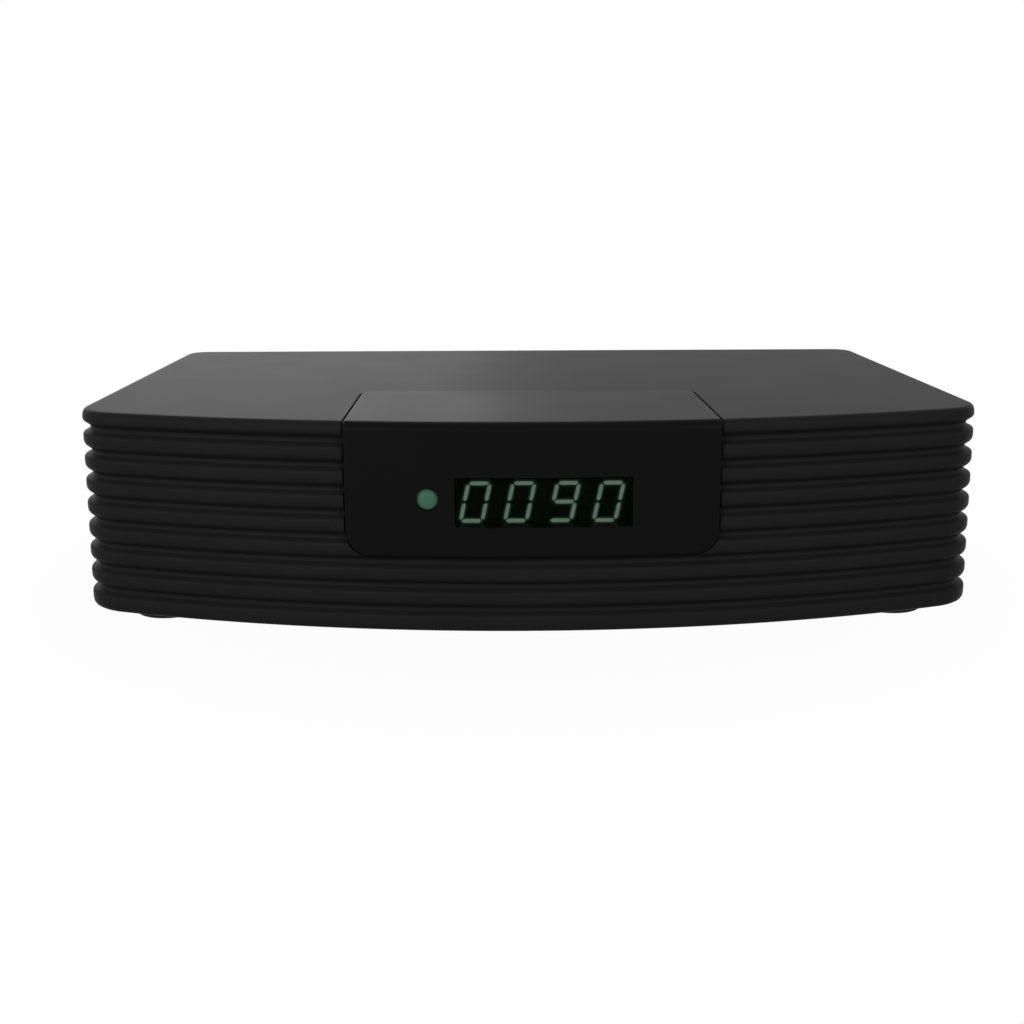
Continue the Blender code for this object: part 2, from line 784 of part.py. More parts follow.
def make_front_panel():
    """L-shaped bezel with window, light hole, locating pins, hooks and board posts."""
    panel = panel_form(
        "front_panel", 0, -panel_proud, panel_back_inset, tab_under_z, top_z + tab_proud,
        parts, materials["panel"],
    )
    pins = rods("locating_pins", locating_pin_places, locating_pin_radius,
                tab_under_z - locating_pin_length, tab_under_z + tab_thickness / 2, tools)
    root_y = bow_y(board_post_x, (panel_back_inset - panel_proud) / 2)
    posts = rods("board_posts", board_post_places, board_post_radius,
                 root_y, display_board_front_y - fit_gap, tools, view="front")
    join(panel, pins, posts)

    hook_low_z = top_z - front_opening_drop - front_opening_height + fit_gap
    hook_top_z = hook_low_z + hook_thickness
    catch_front_y = bow_y(hook_x + hook_width / 2, wall_thickness) + fit_gap
    hook_root_y = bow_y(hook_x, (panel_back_inset - panel_proud) / 2)
    catch_low_z = hook_low_z - fit_gap - hook_catch
    for side in (-1, 1):
        low_x = side * hook_x - hook_width / 2
        high_x = side * hook_x + hook_width / 2
        side_outline = [
            (hook_root_y, hook_low_z),
            (catch_front_y, hook_low_z),
            (catch_front_y, catch_low_z),
            (catch_front_y + hook_length, (hook_low_z + hook_top_z) / 2),
            (catch_front_y + hook_length, hook_top_z),
            (hook_root_y, hook_top_z),
        ]
        join(panel, slab(f"hook_{side}", [side_outline], low_x, high_x, tools, view="side"))

    far_y = bow_y(board_post_x, panel_back_inset) + cut_overrun
    near_y = rib_apex_y - panel_proud - cut_overrun
    window = rounded_rectangle(window_centre_x, top_z - window_centre_drop, window_width, window_height,
                               window_corner_radius, edge_steps)
    window_cut = slab("window_cut", [window], near_y, far_y, tools, view="front")
    light_cut = rods("light_cut", [light_place], light_radius + fit_gap, near_y, far_y, tools, view="front",
                     steps=round_steps)
    pilots = rods("board_post_pilots", board_post_places, small_screw_radius + fit_gap,
                  display_board_back_y - display_screw_length - pilot_spare, display_board_front_y,
                  tools, view="front")
    cut(panel, window_cut, light_cut, pilots)
    smooth(panel)


def make_display():
    """Window, display module, indicator light, infrared receiver and the board behind them."""
    window_z = top_z - window_centre_drop
    lens_width = window_width - 2 * fit_gap
    lens_height = window_height - 2 * fit_gap
    lens_plan = bow_strip(window_centre_x, lens_width, window_sink - panel_proud,
                          window_flange_inset + window_flange_thickness / 2)
    lens = slab("display_window", [lens_plan], window_z - lens_height / 2, window_z + lens_height / 2,
                parts, materials["window"])
    flange_width = window_width + 2 * window_flange_width
    flange_height = window_height + 2 * window_flange_width
    flange_plan = bow_strip(window_centre_x, flange_width, window_flange_inset, window_back_inset)
    join(lens, slab("window_flange", [flange_plan], window_z - flange_height / 2,
                    window_z + flange_height / 2, tools))

    blocks("display_module", [(
        (window_centre_x - module_width / 2, module_front_y, window_z - module_height / 2),
        (window_centre_x + module_width / 2, module_back_y, window_z + module_height / 2),
    )], parts, materials["display"])

    light_seat_y = display_board_front_y - fit_gap
    light_reach = light_seat_y - bow_y(light_centre_x, window_sink - panel_proud)
    light_profile = [
        (0, light_reach),
        (light_radius * light_crown_share, light_reach - light_dome / 4),
        (light_radius, light_reach - light_dome),
        (light_radius, light_collar_length),
        (light_collar_radius, light_collar_length),
        (light_collar_radius, 0),
        (0, 0),
    ]
    turned("indicator_light", light_profile, (light_centre_x, light_seat_y, top_z - light_centre_drop),
           parts, materials["light"], along="-Y")

    receiver_z = top_z - receiver_centre_drop
    receiver_front_y = light_seat_y - receiver_depth
    receiver = blocks("infrared_receiver", [(
        (receiver_centre_x - receiver_width / 2, receiver_front_y, receiver_z - receiver_height / 2),
        (receiver_centre_x + receiver_width / 2, light_seat_y, receiver_z + receiver_height / 2),
    )], parts, materials["black_plastic"])
    join(receiver, rods("receiver_lens", [(receiver_centre_x, receiver_z)], receiver_lens_radius,
                        receiver_front_y - receiver_lens_reach, light_seat_y - receiver_depth / 2,
                        tools, view="front"))

    board_top_z = top_z - display_board_drop
    board_outline = rectangle(0, board_top_z - display_board_height / 2,
                              display_board_width, display_board_height)
    slab("display_board", [board_outline] + [screw_hole(place) for place in board_post_places],
         display_board_front_y, display_board_back_y, parts, materials["circuit_board"], view="front")


def screw_hole(place):
    """Round outline of a clearance hole for a small screw."""
    return arc(place, small_screw_radius + fit_gap, 0, 2 * math.pi, small_round_steps)[:-1]


def make_base_tray():
    """Floor with vents, rim, screw bosses, board standoffs and foot seats."""
    inset = wall_thickness + fit_gap
    floor_right = right_outline(inset)
    half_sill = mouth_width / 2 - fit_gap
    floor_right += [(half_sill, back_y - inset), (half_sill, rear_face_y)]
    vents = [
        slot_outline(
            (column - (vents_per_row - 1) / 2) * vent_pitch,
            (main_board_front_y + main_board_rear_y) / 2 + row * (vent_length + vent_row_gap) / 2,
            vent_length, vent_width,
        )
        for row in (-1, 1) for column in range(vents_per_row)
    ]
    tray = slab("base_tray", [floor_right + mirrored(floor_right)[:-1]] + vents,
                floor_under_z, floor_top_z, parts, materials["cover"])

    rim_outer = rim_half(inset)
    rim_inner = rim_half(inset + rim_thickness)
    rim_plan = mirrored(rim_outer) + rim_outer[1:] + rim_inner[::-1] + mirrored(rim_inner)[::-1][1:]
    rim = slab("rim", [rim_plan], mid_floor_z, floor_top_z + rim_height, tools)
    bosses = rods("bosses", case_screw_places, boss_radius, mid_floor_z, boss_top_z, tools)
    standoffs = rods("standoffs", board_screw_places, standoff_radius, mid_floor_z,
                     floor_top_z + standoff_height, tools)
    join(tray, rim, bosses, standoffs)

    counterbores = rods("counterbores", case_screw_places, case_screw_head_radius + fit_gap,
                        floor_under_z - cut_overrun, floor_under_z + counterbore_depth, tools)
    clearances = rods("clearances", case_screw_places, case_screw_radius + fit_gap,
                      floor_under_z, boss_top_z + cut_overrun, tools)
    pilots = rods("standoff_pilots", board_screw_places, small_screw_radius + fit_gap,
                  main_board_top_z - board_screw_length - pilot_spare,
                  floor_top_z + standoff_height + cut_overrun, tools)
    seats = rods("foot_seats", foot_places, foot_radius + fit_gap, floor_under_z - cut_overrun,
                 floor_under_z + foot_seat_depth, tools, steps=round_steps)
    cut(tray, counterbores, clearances, pilots, seats)
    smooth(tray)


def rim_half(inset):
    """Right half of the rim's plan, stopped short of the rear panel."""
    rim_end_y = flange_in_y - cut_overrun
    return [place for place in right_outline(inset) if place[1] < rim_end_y - rear_corner_radius] + [
        (case_width / 2 - inset, rim_end_y)
    ]


def make_rear_panel():
    """Stepped plate that fills the mouth of the cover, cut out for each socket."""
    low = floor_top_z + fit_gap
    high = plate_under_z - fit_gap
    middle = (low + high) / 2
    field = rectangle(0, middle, mouth_width - 2 * fit_gap, high - low)
    panel = slab("rear_panel", [field], (flange_in_y + flange_out_y) / 2, rear_face_y, parts,
                 materials["cover"], view="front")
    flange = rectangle(0, middle, mouth_width + 2 * flange_margin, high - low - 2 * fit_gap)
    join(panel, slab("rear_flange", [flange], flange_in_y, flange_out_y, tools, view="front"))

    openings = [
        rectangle(power_centre_x, socket_base_z + power_height / 2,
                  power_width + 2 * fit_gap, power_height + 2 * fit_gap),
        rectangle(data_centre_x, socket_base_z + data_height / 2,
                  data_width + 2 * fit_gap, data_height + 2 * fit_gap),
        video_outline(fit_gap),
        rectangle(scart_centre_x, socket_base_z + scart_height / 2,
                  scart_width + 2 * fit_gap, scart_height + 2 * fit_gap),
    ]
    near_y = flange_in_y - cut_overrun
    far_y = rear_face_y + cut_overrun
    cut(panel, slab("socket_openings", openings, near_y, far_y, tools, view="front"))
    cut(panel, rods("antenna_openings", antenna_places, antenna_collar_radius + fit_gap,
                    near_y, far_y, tools, view="front", steps=round_steps))
    smooth(panel)


def video_outline(grow):
    """Socket outline with tapered lower corners, grown outwards."""
    half = video_width / 2 + grow
    low = socket_base_z - grow
    high = socket_base_z + video_height + grow
    taper = video_taper
    right = [(half - taper, low), (half, low + taper), (half, high)]
    left = [(-x, z) for x, z in reversed(right)]
    return [(video_centre_x + x, z) for x, z in right + left]


def scart_outline(shrink):
    """Contact field with one slanted lower corner, drawn inwards."""
    half = scart_cavity_width / 2 - shrink
    rise = scart_cavity_height / 2 - shrink
    middle = socket_base_z + scart_height / 2
    corners = [
        (-half, -rise),
        (half - scart_slant_width, -rise),
        (half, scart_slant_height - rise),
        (half, rise),
        (-half, rise),
    ]
    return [(scart_centre_x + x, middle + z) for x, z in corners]


def make_sockets():
    """Power, data, video and SCART sockets, each a body with a cavity and its contact piece."""
    mouth = socket_mouth_y
    power_axis = (power_centre_x, socket_base_z + power_bore_rise)
    power = blocks("power_socket", [(
        (power_centre_x - power_width / 2, mouth - power_depth, socket_base_z),
        (power_centre_x + power_width / 2, mouth, socket_base_z + power_height),
    )], parts, materials["black_plastic"])
    cut(power, rods("power_bore", [power_axis], power_bore_radius, mouth - power_bore_depth,
                    mouth + cut_overrun, tools, view="front", steps=round_steps))
    rods("power_socket_pin", [power_axis], power_pin_radius, mouth - power_bore_depth + fit_gap,
         mouth - socket_pin_sink, parts, materials["bright_metal"], view="front")

    data_middle_z = socket_base_z + data_height / 2
    data = slab("data_socket", [rectangle(data_centre_x, data_middle_z, data_width, data_height)],
                mouth - data_depth, mouth, parts, materials["bright_metal"], view="front")
    data_cavity = rectangle(data_centre_x, data_middle_z,
                            data_width - 2 * data_wall, data_height - 2 * data_wall)
    cut(data, slab("data_cavity", [data_cavity], mouth - data_cavity_depth, mouth + cut_overrun, tools,
                   view="front"))
    tongue_top_z = socket_base_z + data_height - data_wall - data_tongue_margin
    half_tongue = data_width / 2 - data_wall - data_tongue_margin
    blocks("data_tongue", [(
        (data_centre_x - half_tongue, mouth - data_cavity_depth + fit_gap,
         tongue_top_z - data_tongue_thickness),
        (data_centre_x + half_tongue, mouth - socket_pin_sink, tongue_top_z),
    )], parts, materials["white_plastic"])

    video = slab("video_socket", [video_outline(0)], mouth - video_depth, mouth, parts,
                 materials["bright_metal"], view="front")
    cut(video, slab("video_cavity", [video_outline(-video_wall)], mouth - video_cavity_depth,
                    mouth + cut_overrun, tools, view="front"))
    video_middle_z = socket_base_z + video_height / 2
    blocks("video_tongue", [(
        (video_centre_x - video_tongue_width / 2, mouth - video_cavity_depth + fit_gap,
         video_middle_z - video_tongue_thickness / 2),
        (video_centre_x + video_tongue_width / 2, mouth - socket_pin_sink,
         video_middle_z + video_tongue_thickness / 2),
    )], parts, materials["black_plastic"])

    scart_middle_z = socket_base_z + scart_height / 2
    scart = slab("scart_socket", [rectangle(scart_centre_x, scart_middle_z, scart_width, scart_height)],
                 mouth - scart_depth, mouth, parts, materials["black_plastic"], view="front")
    cut(scart, slab("scart_cavity", [scart_outline(0)], mouth - scart_cavity_depth,
                    mouth + cut_overrun, tools, view="front"))
    block_front_y = mouth - scart_block_sink
    slots = [
        rectangle(
            scart_centre_x + (column - (scart_slots_per_row - 1) / 2 - row * scart_stagger_share)
            * scart_slot_pitch,
            scart_middle_z + row * (scart_slot_row_gap + scart_slot_height) / 2,
            scart_slot_width, scart_slot_height,
        )
        for row in (-1, 1) for column in range(scart_slots_per_row)
    ]
    block = slab("scart_contacts", [scart_outline(scart_block_margin)],
                 mouth - scart_cavity_depth + fit_gap, block_front_y, parts,
                 materials["black_plastic"], view="front")
    cut(block, slab("scart_slots", slots, block_front_y - scart_slot_depth,
                    block_front_y + cut_overrun, tools, view="front"))


def make_tuner():
    """Screened tuner can with the aerial input and the loop output that reach past the rear panel."""
    rear = flange_in_y - fit_gap
    blocks("tuner_can", [(
        (tuner_centre_x - tuner_width / 2, rear - tuner_depth, socket_base_z),
        (tuner_centre_x + tuner_width / 2, rear, socket_base_z + tuner_height),
    )], parts, materials["screening_can"], edge=tuner_edge)

    base_y = rear + fit_gap
    reach = back_y + antenna_reach - base_y
    collar = rear_face_y - base_y
    sizes = (
        ("antenna_input", antenna_input_radius, antenna_input_bore),
        ("antenna_output", antenna_output_radius, antenna_output_bore),
    )
    for (name, radius, bore), (x, z) in zip(sizes, antenna_places):
        barrel = [
            (0, antenna_base_thickness),
            (bore, antenna_base_thickness),
            (bore, reach),
            (radius, reach),
            (radius, collar),
            (antenna_collar_radius, collar),
            (antenna_collar_radius, 0),
            (0, 0),
        ]
        turned(name, barrel, (x, base_y, z), parts, materials["bright_metal"], along="Y")

    disc_radius = antenna_input_bore - fit_gap
    seat_y = base_y + antenna_base_thickness + fit_gap
    length = back_y + antenna_reach - socket_pin_sink - seat_y
    contact = [
        (0, length - antenna_contact_bore_depth),
        (antenna_input_contact_bore, length - antenna_contact_bore_depth),
        (antenna_input_contact_bore, length),
        (antenna_input_contact_radius, length),
        (antenna_input_contact_radius, antenna_disc_thickness),
        (disc_radius, antenna_disc_thickness),
        (disc_radius, 0),
        (0, 0),
    ]
    x, z = antenna_places[0]
    turned("antenna_input_contact", contact, (x, seat_y, z), parts, materials["bright_metal"],
           steps=small_round_steps, along="Y")

    disc_radius = antenna_output_bore - fit_gap
    pin = [
        (0, length),
        (antenna_output_pin_radius * pin_tip_share, length),
        (antenna_output_pin_radius, length - antenna_output_pin_radius),
        (antenna_output_pin_radius, antenna_disc_thickness),
        (disc_radius, antenna_disc_thickness),
        (disc_radius, 0),
        (0, 0),
    ]
    x, z = antenna_places[1]
    turned("antenna_output_pin", pin, (x, seat_y, z), parts, materials["bright_metal"],
           steps=small_round_steps, along="Y")


def on_board(x, inset, width, depth, height, rise=0.0):
    """Corners of a block that stands on the main board, set back from its front edge."""
    y = main_board_front_y + inset
    base = socket_base_z + rise
    return ((x - width / 2, y - depth / 2, base), (x + width / 2, y + depth / 2, base + height))


def make_main_board():
    """Board with screw holes, and the parts that stand on it."""
    middle_y = (main_board_front_y + main_board_rear_y) / 2
    outline = rectangle(0, middle_y, main_board_width, main_board_depth)
    slab("main_board", [outline] + [screw_hole(place) for place in board_screw_places],
         main_board_under_z, main_board_top_z, parts, materials["circuit_board"])

    blocks("processor", [on_board(processor_x, processor_inset, processor_size, processor_size,
                                  processor_height)], parts, materials["chip"], edge=chip_edge)
    blocks("memory_chip", [on_board(memory_x, memory_inset, memory_width, memory_depth, memory_height)],
           parts, materials["chip"], edge=chip_edge)
    blocks("flash_chip", [on_board(flash_x, flash_inset, flash_width, flash_depth, flash_height)],
           parts, materials["chip"], edge=chip_edge)

    sink_base_z = socket_base_z + processor_height + fit_gap
    sink_y = main_board_front_y + processor_inset
    slab("heat_sink", [comb_outline(processor_x, sink_base_z)], sink_y - heat_sink_size / 2,
         sink_y + heat_sink_size / 2, parts, materials["aluminium"], view="front")

    crystal_y = main_board_front_y + crystal_inset
    crystal = rounded_rectangle(crystal_x, crystal_y, crystal_width, crystal_depth,
                                crystal_depth / 2, panel_corner_steps)
    slab("crystal", [crystal], socket_base_z, socket_base_z + crystal_height, parts,
         materials["bright_metal"])
    inductor_y = main_board_front_y + inductor_inset
    inductor_x = inductor_side_inset - main_board_width / 2
    inductor = rounded_rectangle(inductor_x, inductor_y, inductor_size, inductor_size, inductor_edge,
                                 edge_steps)
    slab("power_inductor", [inductor], socket_base_z, socket_base_z + inductor_height, parts,
         materials["chip"])
    capacitor = [
        (0, capacitor_height),
        (capacitor_radius - capacitor_chamfer, capacitor_height),
        (capacitor_radius, capacitor_height - capacitor_chamfer),
        (capacitor_radius, 0),
        (0, 0),
    ]
    for number, (x, inset) in enumerate(capacitor_places, 1):
        turned(f"capacitor_{number}", capacitor, (x, main_board_front_y + inset, socket_base_z),
               parts, materials["capacitor"])


def comb_outline(centre_x, base_z):
    """Front view of the heat sink: a base with equal fins."""
    half = heat_sink_size / 2
    pitch = (heat_sink_size - heat_sink_fin_thickness) / (heat_sink_fins - 1)
    points = [(-half, 0), (half, 0)]
    for fin in reversed(range(heat_sink_fins)):
        left = fin * pitch - half
        right = left + heat_sink_fin_thickness
        points += [(right, heat_sink_base), (right, heat_sink_height)]
        points += [(left, heat_sink_height), (left, heat_sink_base)]
    trimmed = [point for place, point in enumerate(points)
               if point not in ((half, heat_sink_base), (-half, heat_sink_base))]
    return [(centre_x + x, base_z + z) for x, z in trimmed]


def make_cable():
    """Flat cable from the display board to the main board, and the two sockets at its ends."""
    upper_z = top_z - display_board_drop - display_board_height / 2
    rear_y = display_board_back_y + fit_gap
    half = cable_socket_width / 2
    blocks("display_cable_socket", [(
        (cable_x - half, rear_y, upper_z - cable_socket_height / 2),
        (cable_x + half, rear_y + cable_socket_depth, upper_z + cable_socket_height / 2),
    )], parts, materials["white_plastic"])
    front_y = main_board_front_y + cable_socket_inset
    blocks("main_cable_socket", [(
        (cable_x - half, front_y, socket_base_z),
        (cable_x + half, front_y + cable_socket_depth, socket_base_z + cable_socket_height),
    )], parts, materials["white_plastic"])

    start_y = rear_y + cable_socket_depth + fit_gap
    end_y = front_y - fit_gap
    lower_z = socket_base_z + cable_socket_height / 2
    shares = np.linspace(0, 1, cable_steps + 1)
    middle = [
        (start_y + (end_y - start_y) * s, upper_z + (lower_z - upper_z) * (3 * s ** 2 - 2 * s ** 3))
        for s in shares
    ]
    upper = [(y, z + cable_thickness / 2) for y, z in middle]
    lower = [(y, z - cable_thickness / 2) for y, z in middle]
    slab("display_cable", [lower + upper[::-1]], cable_x - cable_width / 2, cable_x + cable_width / 2,
         parts, materials["cable"], view="side")


def screw_profile(head_radius, head_height, radius, length):
    """Half profile of a pan-head screw: the head on top, the shank below the zero plane."""
    return [
        (0, head_height),
        (head_radius * screw_crown_share, head_height),
        (head_radius, head_height / 2),
        (head_radius, 0),
        (radius, 0),
        (radius, radius - length),
        (radius / 2, -length),
        (0, -length),
    ]


def make_screws():
    """Case screws from below, board screws from above, display board screws from behind."""
    case = screw_profile(case_screw_head_radius, case_screw_head_height, case_screw_radius,
                         case_screw_reach)
    for number, (x, y) in enumerate(case_screw_places, 1):
        screw = turned(f"case_screw_{number}", case, (x, y, case_screw_seat_z), parts,
                       materials["screw"], steps=small_round_steps)
        screw.rotation_euler = (math.pi, 0, 0)
    board = screw_profile(small_screw_head_radius, small_screw_head_height, small_screw_radius,
                          board_screw_length)
    for number, (x, y) in enumerate(board_screw_places, 1):
        turned(f"board_screw_{number}", board, (x, y, main_board_top_z + fit_gap), parts,
               materials["screw"], steps=small_round_steps)
    display = screw_profile(small_screw_head_radius, small_screw_head_height, small_screw_radius,
                            display_screw_length)
    for number, (x, z) in enumerate(board_post_places, 1):
        turned(f"display_screw_{number}", display, (x, display_board_back_y + fit_gap, z), parts,
               materials["screw"], steps=small_round_steps, along="Y")


def make_feet():
    """Four rubber discs let into the seats of the tray."""
    seat_z = floor_under_z + foot_seat_depth - fit_gap
    profile = [
        (0, seat_z),
        (foot_radius, seat_z),
        (foot_radius, foot_chamfer),
        (foot_radius - foot_chamfer, 0),
        (0, 0),
    ]
    for number, (x, y) in enumerate(foot_places, 1):
        turned(f"foot_{number}", profile, (x, y, 0), parts, materials["rubber"])


clear_scene()
parts = make_collection(OBJECT_NAME)
tools = make_collection(TOOLS_NAME)
materials = {
    "cover": make_material("cover_plastic", (0.018, 0.018, 0.019), 0.42),
    "panel": make_material("panel_plastic", (0.006, 0.006, 0.0065), 0.3),
    "window": make_material("smoked_window", (0.002, 0.006, 0.003), 0.12),
    "display": make_material("display_face", (0.01, 0.013, 0.011), 0.5),
    "light": make_material("green_light", (0.06, 0.17, 0.08), 0.3),
    "black_plastic": make_material("black_plastic", (0.012, 0.012, 0.012), 0.45),
    "white_plastic": make_material("white_plastic", (0.7, 0.68, 0.62), 0.5),
    "bright_metal": make_material("plated_metal", (0.62, 0.61, 0.58), 0.28, 1.0),
    "screening_can": make_material("tin_plate", (0.58, 0.58, 0.56), 0.35, 1.0),
    "aluminium": make_material("aluminium", (0.7, 0.7, 0.72), 0.4, 1.0),
    "screw": make_material("zinc_screw", (0.45, 0.45, 0.44), 0.35, 1.0),
    "circuit_board": make_material("circuit_board", (0.02, 0.12, 0.05), 0.5),
    "chip": make_material("chip", (0.015, 0.015, 0.017), 0.6),
    "capacitor": make_material("capacitor_sleeve", (0.02, 0.03, 0.08), 0.35),
    "cable": make_material("flat_cable", (0.6, 0.6, 0.58), 0.5),
    "rubber": make_material("rubber", (0.012, 0.012, 0.012), 0.8),
}
make_top_cover()
make_front_panel()
make_display()
make_base_tray()
make_rear_panel()
make_main_board()
make_cable()
make_sockets()
make_tuner()
make_screws()
make_feet()
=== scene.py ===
# %% [markdown]
# This is a small terrestrial television receiver: a black plastic box with a bowed, ribbed front.
# The packed model is the frame. It says where each piece is, and nothing in it is moved here.
# The pieces that show are made again with finer curves, and every surface gets its finish.

# %% Load the frame
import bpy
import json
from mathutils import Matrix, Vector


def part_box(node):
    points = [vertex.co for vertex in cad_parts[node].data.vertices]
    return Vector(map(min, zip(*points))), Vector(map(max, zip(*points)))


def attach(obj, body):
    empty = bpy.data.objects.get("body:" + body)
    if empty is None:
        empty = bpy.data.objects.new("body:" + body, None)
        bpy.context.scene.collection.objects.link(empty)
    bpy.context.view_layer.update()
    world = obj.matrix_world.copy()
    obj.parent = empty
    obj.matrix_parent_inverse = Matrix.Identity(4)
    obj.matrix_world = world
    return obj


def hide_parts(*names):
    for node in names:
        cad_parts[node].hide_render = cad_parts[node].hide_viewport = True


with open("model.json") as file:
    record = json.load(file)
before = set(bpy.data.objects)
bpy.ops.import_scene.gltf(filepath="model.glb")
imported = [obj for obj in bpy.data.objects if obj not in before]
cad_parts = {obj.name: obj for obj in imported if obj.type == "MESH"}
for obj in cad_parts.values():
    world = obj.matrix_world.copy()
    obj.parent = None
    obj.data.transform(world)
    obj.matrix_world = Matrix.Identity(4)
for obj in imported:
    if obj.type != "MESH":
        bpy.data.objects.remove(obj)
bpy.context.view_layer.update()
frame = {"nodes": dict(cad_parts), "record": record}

# %% [markdown]
# Shapes are worked out as whole arrays of points, so numpy does the geometry. Blender's bmesh
# module then welds the seams and turns the faces outwards. Lengths are in metres, and sizes are
# written in millimetres times MM, because that is how a maker reads a drawing. A piece is drawn in
# one of two views, from the top or from the front, and its third axis is the line of sight.

# %% Modules, units and views
import json
from math import pi

import bmesh
import bpy
import numpy as np

MM = 0.001
AXES = {"top": [0, 1, 2], "front": [0, 2, 1]}
weld_distance = 0.001 * MM
fit_gap = 0.3 * MM
overrun = 1.0 * MM


def middle(box, view="top"):
    """Middle of a node's box in a view, as two plain numbers."""
    return tuple((box[0][axis] + box[1][axis]) / 2 for axis in AXES[view][:2])


def four_boxes(kind):
    """Boxes of the four nodes of one kind, such as foot_1 to foot_4."""
    return [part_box(f"{kind}_{number}") for number in range(1, 5)]


print("a foot stands at, in mm:", [round(place / MM, 2) for place in middle(four_boxes("foot")[0])])

# %% [markdown]
# Nearly every moulded or turned piece is one idea: a closed outline that moves in or out along its
# own normals while it climbs. A foot, a socket and the whole case are made this way, so one
# function serves them all. The alternative, stacking primitives, gives no control of the edges.


# %% Points on outlines and profiles
def arc(centre, radius, start, end, steps):
    """Part of a circle and its outward normals: centre + radius (cos a, sin a), without its last point.

    An arc of no radius is a plain point with its normal.
    """
    angle = np.linspace(start, end, steps + 1)[:-1, None]
    normal = np.hstack((np.cos(angle), np.sin(angle)))
    return np.asarray(centre) + radius * normal, normal


def chain(*arcs):
    """One closed outline from arcs that follow on from each other."""
    return tuple(np.vstack(part) for part in zip(*arcs))


def circle(centre, steps=64):
    """A closed outline shrunk to its centre, so that a profile's offset is its radius."""
    return arc(centre, 0, 0, 2 * pi, steps)


def soft_outline(corners, reach, steps=4):
    """Closed outline, anticlockwise, with softened corners, and its outward normals.

    Corner C gives way to the parabola (1-s)^2 A + 2s(1-s) C + s^2 B, where A and B lie on its two
    edges, one reach away. The normal is the tangent (1-s)(C-A) + s(B-C) turned by a quarter.
    """
    corner = np.asarray(corners, float)
    before, after = np.roll(corner, 1, axis=0) - corner, np.roll(corner, -1, axis=0) - corner
    start = reach * before / np.linalg.norm(before, axis=1, keepdims=True)
    end = reach * after / np.linalg.norm(after, axis=1, keepdims=True)
    s = np.linspace(0, 1, steps + 1)[:, None]
    points = corner[:, None] + (1 - s) ** 2 * start[:, None] + s ** 2 * end[:, None]
    tangent = s * end[:, None] - (1 - s) * start[:, None]
    tangent /= np.linalg.norm(tangent, axis=2, keepdims=True)
    normals = np.stack((tangent[..., 1], -tangent[..., 0]), axis=2)
    return points.reshape(-1, 2), normals.reshape(-1, 2)


def soft_profile(corners, reach, steps=4):
    """Open line of (offset, height) whose inner corners are softened by the same parabola.

    The reach may differ from corner to corner. Where two of them don't fit on the edge between
    their corners, both are cut down in the same ratio: share = length / (reach + next reach).
    """
    corner = np.asarray(corners, float)
    edges = np.diff(corner, axis=0)
    lengths = np.linalg.norm(edges, axis=1)
    reaches = np.concatenate(([0], np.broadcast_to(reach, len(corner) - 2), [0]))
    shares = np.minimum(1, lengths / (reaches[:-1] + reaches[1:])) / lengths
    start = -edges[:-1] * (shares[:-1] * reaches[1:-1])[:, None]
    end = edges[1:] * (shares[1:] * reaches[1:-1])[:, None]
    s = np.linspace(0, 1, steps + 1)[:, None]
    curve = corner[1:-1, None] + (1 - s) ** 2 * start[:, None] + s ** 2 * end[:, None]
    return np.vstack((corner[:1], curve.reshape(-1, 2), corner[-1:]))


def corners_of(low_x, high_x, low_y, high_y):
    """Four corners of a rectangle, anticlockwise."""
    return [(low_x, low_y), (high_x, low_y), (high_x, high_y), (low_x, high_y)]


def block_profile(low, high, edge, steps=4):
    """Profile of a plain block whose rims are quarter circles: offset = edge (sin a - 1).

    The outline's corners have to be rounder than the edge, or its inner rings would cross.
    """
    angle = np.linspace(0, pi / 2, steps + 1)
    offset, rise = edge * (np.sin(angle) - 1), edge * (1 - np.cos(angle))
    lower, upper = np.column_stack((offset, low + rise)), np.column_stack((offset, high - rise))
    return np.vstack((lower, upper[::-1]))


print("an arc of 4 steps has", len(arc((0, 0), 1, 0, pi, 4)[0]), "points of its own")

# %% [markdown]
# A grid of points becomes a mesh by joining each point to its neighbours. The grid's numbering is
# worked out as arrays too. A ring body closes its first and last ring with flat faces, and a sheet
# body joins a front and a back grid round their borders.


# %% Grids to closed meshes
def quads(rows, columns, wrap):
    """Corner numbers of all quads in a grid of points: here, right, right and up, up."""
    steps = columns if wrap else columns - 1
    row, step = np.meshgrid(np.arange(rows - 1), np.arange(steps), indexing="ij")
    here, right = row * columns + step, row * columns + (step + 1) % columns
    return np.stack((here, right, right + columns, here + columns), axis=-1).reshape(-1, 4)


def add_object(name, data):
    """Object for a mesh, a lamp or a camera, linked to the scene at the origin."""
    made = bpy.data.objects.new(name, data)
    bpy.context.scene.collection.objects.link(made)
    return made


def new_object(name, points, faces):
    """Object whose mesh is welded, with its faces turned outwards."""
    mesh = bpy.data.meshes.new(name)
    mesh.from_pydata(points.reshape(-1, 3).tolist(), [], faces)
    shape = bmesh.new()
    shape.from_mesh(mesh)
    bmesh.ops.remove_doubles(shape, verts=shape.verts, dist=weld_distance)
    bmesh.ops.recalc_face_normals(shape, faces=shape.faces)
    shape.to_mesh(mesh)
    shape.free()
    return add_object(name, mesh)


def ring_body(name, outline, profile, view="top"):
    """Closed body P(s, t) = outline(s) + offset(t) normal(s), at height(t) along the line of sight."""
    points, normals = outline
    offset, height = np.asarray(profile, float).T
    flat = points[None] + offset[:, None, None] * normals[None]
    level = np.broadcast_to(height[:, None, None], flat.shape[:2] + (1,))
    grid = np.concatenate((flat, level), axis=2)[..., AXES[view]]
    rings, around = flat.shape[:2]
    ring = np.arange(around)
    caps = [ring[::-1].tolist(), (ring + (rings - 1) * around).tolist()]
    return new_object(name, grid, quads(rings, around, True).tolist() + caps)


